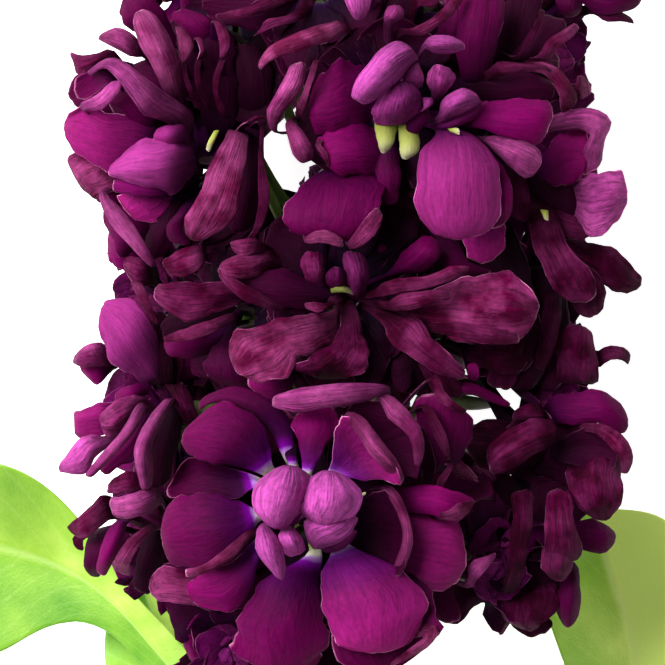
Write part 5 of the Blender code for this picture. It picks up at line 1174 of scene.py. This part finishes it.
def grow_leaf(index, row, material):
    """One long leaf with a sunk midrib above, a raised one below and a waved margin."""
    across, reach = blade_grid(LEAF_GRID, *LEAF_EDGES)
    out = round_stem(row.turn)
    seat = stem_radius(row.along * MM) + LEAF_SEAT + LEAF_THICKNESS / 2 * out.z
    root = stem_centre(row.along * MM) + out * seat
    midrib = curve_through([root] + [Vector(point) * MM for point in row.midrib], LEAF_STEPS + 1)
    middle = np.zeros((len(reach), len(across), 3))
    for line, v in enumerate(reach):
        place = v * LEAF_STEPS
        low = min(int(place), LEAF_STEPS - 1)
        point = midrib[low].lerp(midrib[low + 1], place - low)
        ahead = (midrib[min(low + 2, LEAF_STEPS)] - midrib[max(low - 1, 0)]).normalized()
        level = ahead.cross(UP).normalized()
        above = level.cross(ahead)
        roll = math.radians(row.roll) * smooth(2 * v)
        side = level * math.cos(roll) + above * math.sin(roll)
        face = above * math.cos(roll) - level * math.sin(roll)
        neck = LEAF_FOOT + LEAF_NECK * smooth(v / row.widening[0])
        broad = neck + (1 - neck) * smooth((v - row.widening[0]) / (row.widening[1] - row.widening[0]))
        wide = row.width * MM / 2 * broad * (1 - LEAF_TIP * max(2 * v - 1, 0) ** LEAF_TIP_POWER)
        fold = math.tan(math.radians(row.fold)) * broad
        for column, u in enumerate(across):
            shift = LEAF_WAVE_SHIFT if u > 0 else 0
            wave = LEAF_WAVE * abs(u) * math.sin(LEAF_WAVES * v + shift) * smooth(3 * v)
            bent = math.sqrt(u * u + MIDRIB_ROUND) - MIDRIB_SUNK
            spot = point + side * wide * u + face * (wide * bent * fold + wave)
            spot.z = max(spot.z, LEAF_THICKNESS / 2 + FLOOR_CLEAR)
            middle[line, column] = spot
    u, v = np.meshgrid(across, reach)
    thickness = LEAF_THICKNESS * (1.0 - LEAF_THINNING * np.abs(u) ** 2)
    ridge = MIDRIB_RAISED * np.exp(-(u * between(MIDRIB_NARROWNESS, v)) ** 2) * (1 - MIDRIB_THINNING * v)
    maker = Maker()
    maker.blade(middle, thickness, v, u, (index / len(LEAVES), row.left, row.right), ridge[:, :, None])
    name = f"leaf_{index + 1:02d}"
    maker.finish(f"soft_{name}", material, [name])


def add_node(tree, kind, inputs=(), stops=(), **settings):
    """Add a shader node, set its properties and colour stops, and set or link its inputs, given by name or in order.

    A Math node takes its values in order, a Mix its factor and its two values, and a MapRange the value, the range
    that it comes from and its new range.
    """
    node = tree.nodes.new("ShaderNode" + kind)
    for name, value in settings.items():
        setattr(node, name, value)
    if stops:
        elements = node.color_ramp.elements
        while len(elements) < len(stops):
            elements.new(0.5)
        for element, (place, tint) in zip(elements, stops):
            element.position = place
            element.color = tint
    keys = MIX_INPUTS.get(settings.get("data_type"), range(len(inputs)))
    for key, value in inputs.items() if isinstance(inputs, dict) else zip(keys, inputs):
        if isinstance(value, bpy.types.Node):
            value = value.outputs[MIXED_COLOUR if getattr(value, "data_type", "") == "RGBA" else 0]
        if isinstance(value, bpy.types.NodeSocket):
            tree.links.new(value, node.inputs[key])
        else:
            node.inputs[key].default_value = value
    return node


def new_material(name, constants):
    """A material with its tree and its Principled shader, whose constants are set."""
    material = bpy.data.materials.new(name)
    material.use_nodes = True
    shader = material.node_tree.nodes["Principled BSDF"]
    for label, value in constants.items():
        shader.inputs[label].default_value = value
    return material, material.node_tree, shader


def grown_material(name, constants):
    """A material of a grown piece: what adds a node, its shader, its mesh's marks and kind, and its places."""
    material, tree, shader = new_material(name, constants)
    node = partial(add_node, tree)
    marks, kind = (node("SeparateXYZ", [node("Attribute", attribute_name=label).outputs["Vector"]]).outputs
                   for label in ("marks", "kind"))
    return material, node, shader, marks, kind, node("TexCoord").outputs["Object"]


def link_shader(material, shader, colour_socket, bump, others=()):
    """Link a colour to the shader's base and to its other colours, and a bump to its normal."""
    links = material.node_tree.links
    for name in ("Base Color", *others):
        links.new(colour_socket, shader.inputs[name])
    links.new(bump.outputs[0], shader.inputs["Normal"])


def velvet_petal(look):
    """Petal of a double stock: thin living tissue whose cone-shaped cells make it velvety."""
    material, node, shader, (reach, across, side), (tone, youth, claw), place = grown_material(
        "stock_petal_velvet", {"Roughness": 0.65, "IOR": 1.42, "Specular IOR Level": 0.06})
    # Colour wanders over the blade in patches of about 4 mm
    patches = node("TexNoise", {"Vector": place, "Scale": 250.0, "Detail": 3.0})
    wander = node("Math", [patches, 0.10, reach], operation="MULTIPLY_ADD")
    shifted = node("Math", [wander, 0.05], operation="SUBTRACT")
    upper = node("ValToRGB", {"Fac": shifted}, stops=[
        (0.14, linear("#a9b85a")), (0.19, linear("#f4eedc")), (0.215, linear("#c592e0")),
        (0.25, linear("#8226a0")), (0.32, look.heart_colour), (0.55, look.upper_colour), (1.0, look.margin_colour)])
    # The under face is dusty, with deeper blotches between its veins
    blotch = node("MapRange", [patches, 0.38, 0.62])
    under = node("Mix", [blotch, look.under_deep, look.under_colour], data_type="RGBA")
    facing = node("MapRange", [side, -0.4, 0.4])
    both = node("Mix", [facing, under, upper], data_type="RGBA")
    young = node("Math", [youth, 0.85], operation="MULTIPLY")
    fresh = node("Mix", [young, both, look.young_colour], data_type="RGBA")
    # Veins run from the claw to the margin, about 0.8 mm apart where the blade is widest, and barely show
    warp = node("TexNoise", {"Vector": place, "Scale": 260.0, "Detail": 2.0})
    bent = node("Math", [warp, 0.5, across], operation="MULTIPLY_ADD")
    stripes = node("Math", [bent, 44.0], operation="MULTIPLY")
    veins = node("Math", [stripes], operation="SINE")
    vein_mask = node("MapRange", [veins, 0.2, 1.0, 0.0, 0.14])
    veined = node("Mix", [vein_mask, fresh, linear("#8a5a80")], data_type="RGBA", blend_type="MULTIPLY")
    # Wrinkles about 1.5 mm wide and 4 mm long run along the blade, with crinkles of about 0.8 mm between them; both
    # show most on the under face
    spread = node("CombineXYZ", [across, reach, tone])
    drawn_out = node("VectorMath", [spread, (4.4, 3.8, 20.0)], operation="MULTIPLY")
    folds = node("TexNoise", {"Vector": drawn_out, "Scale": 1.0, "Detail": 5.0, "Roughness": 0.66, "Distortion": 1.2})
    crinkle = node("TexNoise", {"Vector": place, "Scale": 1250.0, "Detail": 4.0, "Roughness": 0.6})
    rough = node("MapRange", [facing, 0.0, 1.0, 1.0, 0.5])
    # The very margin is thin and carries a pale painted highlight in patches
    rim = node("Math", [side], operation="ABSOLUTE")
    thin = node("MapRange", [rim, 0.75, 0.0])
    patchy = node("MapRange", [patches, 0.4, 0.6, 0.2, 0.95])
    rim_highlight_mask = node("Math", [thin, patchy], operation="MULTIPLY")
    edged = node("Mix", [rim_highlight_mask, veined, look.rim_highlight_colour], data_type="RGBA")
    # Each petal has a tone from deep to bright, partly its own colour and partly painted light and shade
    deep = node("Math", [tone, 1.7], operation="POWER")
    shade = node("Math", [deep, 1.5, 0.09], operation="MULTIPLY_ADD")
    # Petals get painted shade towards their hidden bases, and are mottled
    painted_base_shade = node("MapRange", [reach, 0.34, 0.75, 0.22, 1.0])
    shaded_base = node("Math", [painted_base_shade, claw], operation="MAXIMUM")
    # Mottle and speckle follow the relief of the wrinkles and crinkles, so their troughs get painted shade along with
    # blotches of colour
    mottle, speckle = (
        node("MapRange", [noise, 0.3, 0.7, -strength, strength])
        for noise, strength in ((folds, 0.5), (crinkle, 0.25)))
    uneven = node("Math", [mottle, speckle], operation="ADD")
    blotch_and_crease_shade = node("Math", [uneven, rough, 1.0], operation="MULTIPLY_ADD")
    # Painted highlight on thin rims, painted shade on small folded petals
    rim_highlight = node("Math", [rim_highlight_mask, 1.5, 1.0], operation="MULTIPLY_ADD")
    # Small folded petals get painted shade
    folded = node("Math", [youth, -0.3, 1.0], operation="MULTIPLY_ADD")
    value = shade
    for factor in (shaded_base, blotch_and_crease_shade, rim_highlight, folded):
        value = node("Math", [value, factor], operation="MULTIPLY")
    # The painted rim highlight shows even on the darkest petals
    lit_rim = node("Math", [rim_highlight_mask, 0.5], operation="MULTIPLY")
    value = node("Math", [value, lit_rim], operation="MAXIMUM")
    # Claws that show keep their own pale tone
    near_claw = node("MapRange", [shifted, 0.34, 0.24])
    shown = node("Math", [claw, 0.4], operation="GREATER_THAN")
    kept = node("Math", [near_claw, shown], operation="MULTIPLY")
    value = node("Mix", [kept, value, 0.95], data_type="FLOAT")
    rich = node("MapRange", [tone, 0.2, 0.9, 1.12, 0.98])
    toned = node("HueSaturation", {"Saturation": rich, "Value": value, "Color": edged})
    # Claws that stand alone are pale green to cream, dimmed by their tone, which carries painted shade
    pale = node("ValToRGB", {"Fac": reach}, stops=[
        (0.2, linear("#9aa545")), (0.6, linear("#cfd472")), (1.0, linear("#eee6c0"))])
    all_claw = node("Math", [claw, 0.9], operation="GREATER_THAN")
    dimmed = node("HueSaturation", {"Value": tone, "Color": pale})
    clawed = node("Mix", [all_claw, toned, dimmed], data_type="RGBA")
    # Papillae are some 0.03 mm wide; they are drawn ten times as coarse, so that they show at all
    grain = node("TexNoise", {"Vector": place, "Scale": 3300.0, "Detail": 2.0})
    bump = node("Bump", {"Strength": 0.25, "Distance": 0.1 * MM, "Height": grain})
    for height, size in ((crinkle, 0.12 * MM), (folds, 0.6 * MM)):
        bump = node("Bump", {"Strength": rough, "Distance": size, "Height": height, "Normal": bump})
    link_shader(material, shader, clawed.outputs[MIXED_COLOUR], bump)
    return material


def downy_leaf(look):
    """Leaf of a stock: soft green tissue under a mat of fine grey hairs, with a painted glow for the floor's light
    coming through it.
    """
    material, node, shader, (reach, across, side), (_, left, right), place = grown_material("stock_leaf_downy", {
        "Roughness": 0.55, "Specular IOR Level": 0.4, "Sheen Weight": 0.2, "Sheen Tint": linear("#e8f0d0"),
        "Emission Strength": 0.25, **FLESH, "Subsurface Weight": 0.15})
    # Each half is painted lighter or darker for the light and shade that fall on it, with blotches of light and deep
    # green about 12 mm across
    half = node("MapRange", [across, -0.1, 0.1])
    light = node("Mix", [half, left, right], data_type="FLOAT")
    blotch = node("TexNoise", {"Vector": place, "Scale": 80.0, "Detail": 4.0})
    blotched = node("MapRange", [blotch, 0.3, 0.7, -0.3, 0.3])
    lightness = node("Math", [light, blotched], operation="ADD")
    green = node("ValToRGB", {"Fac": lightness}, stops=[
        (0.0, look.leaf_deep_and_shaded), (0.5, look.leaf_colour), (1.0, look.leaf_pale_and_lit)])
    facing = node("MapRange", [side, -0.4, 0.4])
    both = node("Mix", [facing, look.leaf_under, green], data_type="RGBA")
    wide = node("Math", [across], operation="ABSOLUTE")
    rib = node("MapRange", [wide, 0.07, 0.01, 0.0, 0.3])
    # Side veins leave the midrib every 6 mm or so and sweep forward
    sweep = node("Math", [wide, -0.22, reach], operation="MULTIPLY_ADD")
    warp = node("Math", [blotch, 0.06, sweep], operation="MULTIPLY_ADD")
    rows = node("Math", [warp, 75.0], operation="MULTIPLY")
    side_veins = node("Math", [rows], operation="SINE")
    vein_mask = node("MapRange", [side_veins, 0.82, 1.0, 0.0, 0.06])
    lines = node("Math", [rib, vein_mask], operation="MAXIMUM")
    veined = node("Mix", [lines, both, look.leaf_vein], data_type="RGBA")
    # The down is too fine to see hair by hair, and shows as a soft grain of about 0.4 mm
    grain = node("TexNoise", {"Vector": place, "Scale": 2400.0, "Detail": 2.0})
    relief = node("Math", [lines, -0.8, grain], operation="MULTIPLY_ADD")
    bump = node("Bump", {"Strength": 0.3, "Distance": 0.25 * MM, "Height": relief})
    # The leaf's colour also feeds its emission, a painted glow for floor light shining through the blade
    link_shader(material, shader, veined.outputs[MIXED_COLOUR], bump, ["Emission Color"])
    return material


def fleshy_stem(look):
    """Green stem, pedicels, sepals and buds: smooth fleshy tissue, flushed purple towards the sepals' tips."""
    material, node, shader, (reach, _, _), (hidden, flush, _), place = grown_material(
        "stock_stem_fleshy", {"Roughness": 0.45, **FLESH, "Subsurface Weight": 0.1})
    streaks = node("Mapping", {"Vector": place, "Scale": (900.0, 60.0, 900.0)})
    fibre = node("TexNoise", {"Vector": streaks, "Scale": 1.0, "Detail": 3.0})
    green = node("ValToRGB", {"Fac": fibre}, stops=[
        (0.3, look.stem_deep), (0.55, look.stem_colour), (0.8, look.stem_light)])
    top = node("MapRange", [reach, 0.35, 0.85])
    flushed = node("Math", [top, flush], operation="MULTIPLY")
    mixed = node("Mix", [flushed, green, look.flush_colour], data_type="RGBA")
    # Pedicels, sepals and buds get painted shade for lying deep among the petals, so they are darker than the stem
    shade = node("MapRange", [hidden, 0.2, 0.5, 1.0, 0.3])
    deep = node("HueSaturation", {"Value": shade, "Color": mixed})
    bump = node("Bump", {"Strength": 0.25, "Distance": 0.2 * MM, "Height": fibre})
    link_shader(material, shader, deep.outputs[0], bump)
    return material


def colour(name, description, code):
    """A colour setting with its default."""
    return bpy.props.FloatVectorProperty(name=name, description=description, subtype="COLOR", size=4, min=0.0,
                                         max=1.0, default=linear(code))


class FLOWER_PG_petals(bpy.types.PropertyGroup):
    heart_colour: colour("Inner blade", "Upper face of a petal past its claw", "#68066c")
    upper_colour: colour("Upper face", "Upper face of an open petal", "#66044c")
    margin_colour: colour("Margin", "Upper face near the margin", "#6e044c")
    under_colour: colour("Under face", "Dusty under face of a petal", "#8a3466")
    under_deep: colour("Under face, deep", "Blotches on the under face", "#560a32")
    young_colour: colour("Folded petals", "Small folded petals in the middle", "#ae4098")
    # The rim colour is a painted highlight on the petals' thin margins
    rim_highlight_colour: colour("Rim", "Thin pale rim of a petal", "#c07aa0")


class FLOWER_PG_greens(bpy.types.PropertyGroup):
    leaf_colour: colour("Leaf", "Upper face of a leaf", "#8cb634")
    # The light and deep greens colour both the leaf's blotches and the painted light and shade on its halves
    leaf_pale_and_lit: colour("Leaf, light", "Light blotches on a leaf", "#cbe06e")
    leaf_deep_and_shaded: colour("Leaf, deep", "Deep blotches on a leaf", "#4f8a08")
    leaf_under: colour("Leaf, under", "Under face of a leaf", "#a9c288")
    leaf_vein: colour("Veins", "Midrib and side veins", "#c4d88c")
    stem_colour: colour("Stem", "The stem and pedicels", "#93b052")
    stem_light: colour("Stem, light", "Light streaks on the stem", "#b4cc78")
    stem_deep: colour("Stem, deep", "Deep streaks on the stem", "#6f8f3a")
    flush_colour: colour("Flush", "Purple flush at the tips of sepals and buds", "#6a2a5c")


class FLOWER_PG_stage(bpy.types.PropertyGroup):
    floor_size: bpy.props.FloatProperty(name="Floor size", description="Side of the floor", default=3.0, unit="LENGTH")
    key_power: bpy.props.FloatProperty(name="Key light", description="Power of the soft key light in watts",
                                       default=15.0)
    fill_power: bpy.props.FloatProperty(name="Fill light", description="Power of the fill light in watts",
                                        default=0.8)


class FLOWER_OT_stage(bpy.types.Operator):
    """Set the pale floor, the soft lights and the camera"""
    bl_idname = "flower.stage"
    bl_label = "Stage"

    def execute(self, context):
        scene, look = context.scene, context.scene.flower_stage
        size = look.floor_size / 2
        mesh = bpy.data.meshes.new("floor")
        mesh.from_pydata([(-size, -size, 0), (size, -size, 0), (size, size, 0), (-size, size, 0)], [], [(0, 1, 2, 3)])
        mesh.materials.append(new_material("matt_white_board", {
            "Base Color": linear("#fafafa"), "Roughness": 0.9, "Emission Color": linear("#ffffff"),
            "Emission Strength": FLOOR_GLOW})[0])
        floor = bpy.data.objects.new("floor", mesh)
        scene.collection.objects.link(floor)
        for name, power, (side, place) in (("key", look.key_power, KEY_LAMP), ("fill", look.fill_power, FILL_LAMP)):
            light = bpy.data.lights.new(name, "AREA")
            light.energy = power
            light.size = side
            lamp = bpy.data.objects.new(name, light)
            lamp.location = place
            lamp.rotation_euler = (LAMPS_AIM - lamp.location).to_track_quat("-Z", "Y").to_euler()
            scene.collection.objects.link(lamp)
        world = bpy.data.worlds.new("studio")
        world.use_nodes = True
        background = world.node_tree.nodes["Background"].inputs
        background["Color"].default_value = linear("#ffffff")
        background["Strength"].default_value = STUDIO_GLOW
        scene.world = world
        camera = bpy.data.cameras.new("camera")
        camera.lens = VIEW_LENS
        camera.sensor_width = VIEW_SENSOR
        camera.clip_start = VIEW_NEAR
        eye = bpy.data.objects.new("camera", camera)
        eye.location = (*VIEW_CENTRE, VIEW_HEIGHT)
        scene.collection.objects.link(eye)
        scene.camera = eye
        scene.view_settings.view_transform = "Standard"
        return {"FINISHED"}


class FLOWER_OT_stem(bpy.types.Operator):
    """Grow the stem with its pedicels, calyces and closed buds"""
    bl_idname = "flower.stem"
    bl_label = "Stem"

    def execute(self, context):
        material = fleshy_stem(context.scene.flower_greens)
        maker = Maker()
        places = np.linspace(CUT_END_Y, SPIKE_TIP_Y, STEM_POINTS)
        centres, radii = [stem_centre(y) for y in places], [stem_radius(y) for y in places]
        maker.tube(centres, radii, STEM_SIDES, STEM_KIND, STEM_LOBES)
        for index in range(BUD_COUNT):
            grow_bud(index, maker)
        maker.finish("green_stem", material, ["stem"])
        maker = Maker()
        for floret in florets_in_place():
            grow_calyx(floret, maker)
        maker.finish("calyces", material)
        return {"FINISHED"}


class FLOWER_OT_leaves(bpy.types.Operator):
    """Grow the leaves"""
    bl_idname = "flower.leaves"
    bl_label = "Leaves"

    def execute(self, context):
        material = downy_leaf(context.scene.flower_greens)
        for index, row in enumerate(LEAVES):
            grow_leaf(index, row, material)
        return {"FINISHED"}


class FLOWER_OT_florets(bpy.types.Operator):
    """Grow the double florets"""
    bl_idname = "flower.florets"
    bl_label = "Florets"

    def execute(self, context):
        material = velvet_petal(context.scene.flower_petals)
        for index, floret in enumerate(florets_in_place()):
            grow_floret(index, floret, material)
        return {"FINISHED"}


OPERATORS = (FLOWER_OT_stage, FLOWER_OT_stem, FLOWER_OT_leaves, FLOWER_OT_florets)
GROUPS = {"flower_petals": FLOWER_PG_petals, "flower_greens": FLOWER_PG_greens, "flower_stage": FLOWER_PG_stage}


class FLOWER_PT_panel(bpy.types.Panel):
    """The flower's pieces and settings"""
    bl_idname = "FLOWER_PT_panel"
    bl_label = "Stock flower stem"
    bl_space_type = "VIEW_3D"
    bl_region_type = "UI"
    bl_category = "Flower"

    def draw(self, context):
        for label, name in zip(("Petals", "Greens", "Stage"), GROUPS):
            group = getattr(context.scene, name)
            box = self.layout.box()
            box.label(text=label)
            for setting in group.bl_rna.properties.keys():
                if setting not in ("rna_type", "name"):
                    box.prop(group, setting)
        for operator in OPERATORS:
            self.layout.operator(operator.bl_idname)


def register():
    for group in (*GROUPS.values(), *OPERATORS, FLOWER_PT_panel):
        bpy.utils.register_class(group)
    for name, group in GROUPS.items():
        setattr(bpy.types.Scene, name, bpy.props.PointerProperty(type=group))


def unregister():
    for name in GROUPS:
        delattr(bpy.types.Scene, name)
    for group in (FLOWER_PT_panel, *reversed(OPERATORS), *GROUPS.values()):
        bpy.utils.unregister_class(group)


def main():
    register()
    bpy.ops.flower.stage()
    bpy.ops.flower.stem()
    bpy.ops.flower.leaves()
    bpy.ops.flower.florets()


if __name__ == "__main__":
    main()
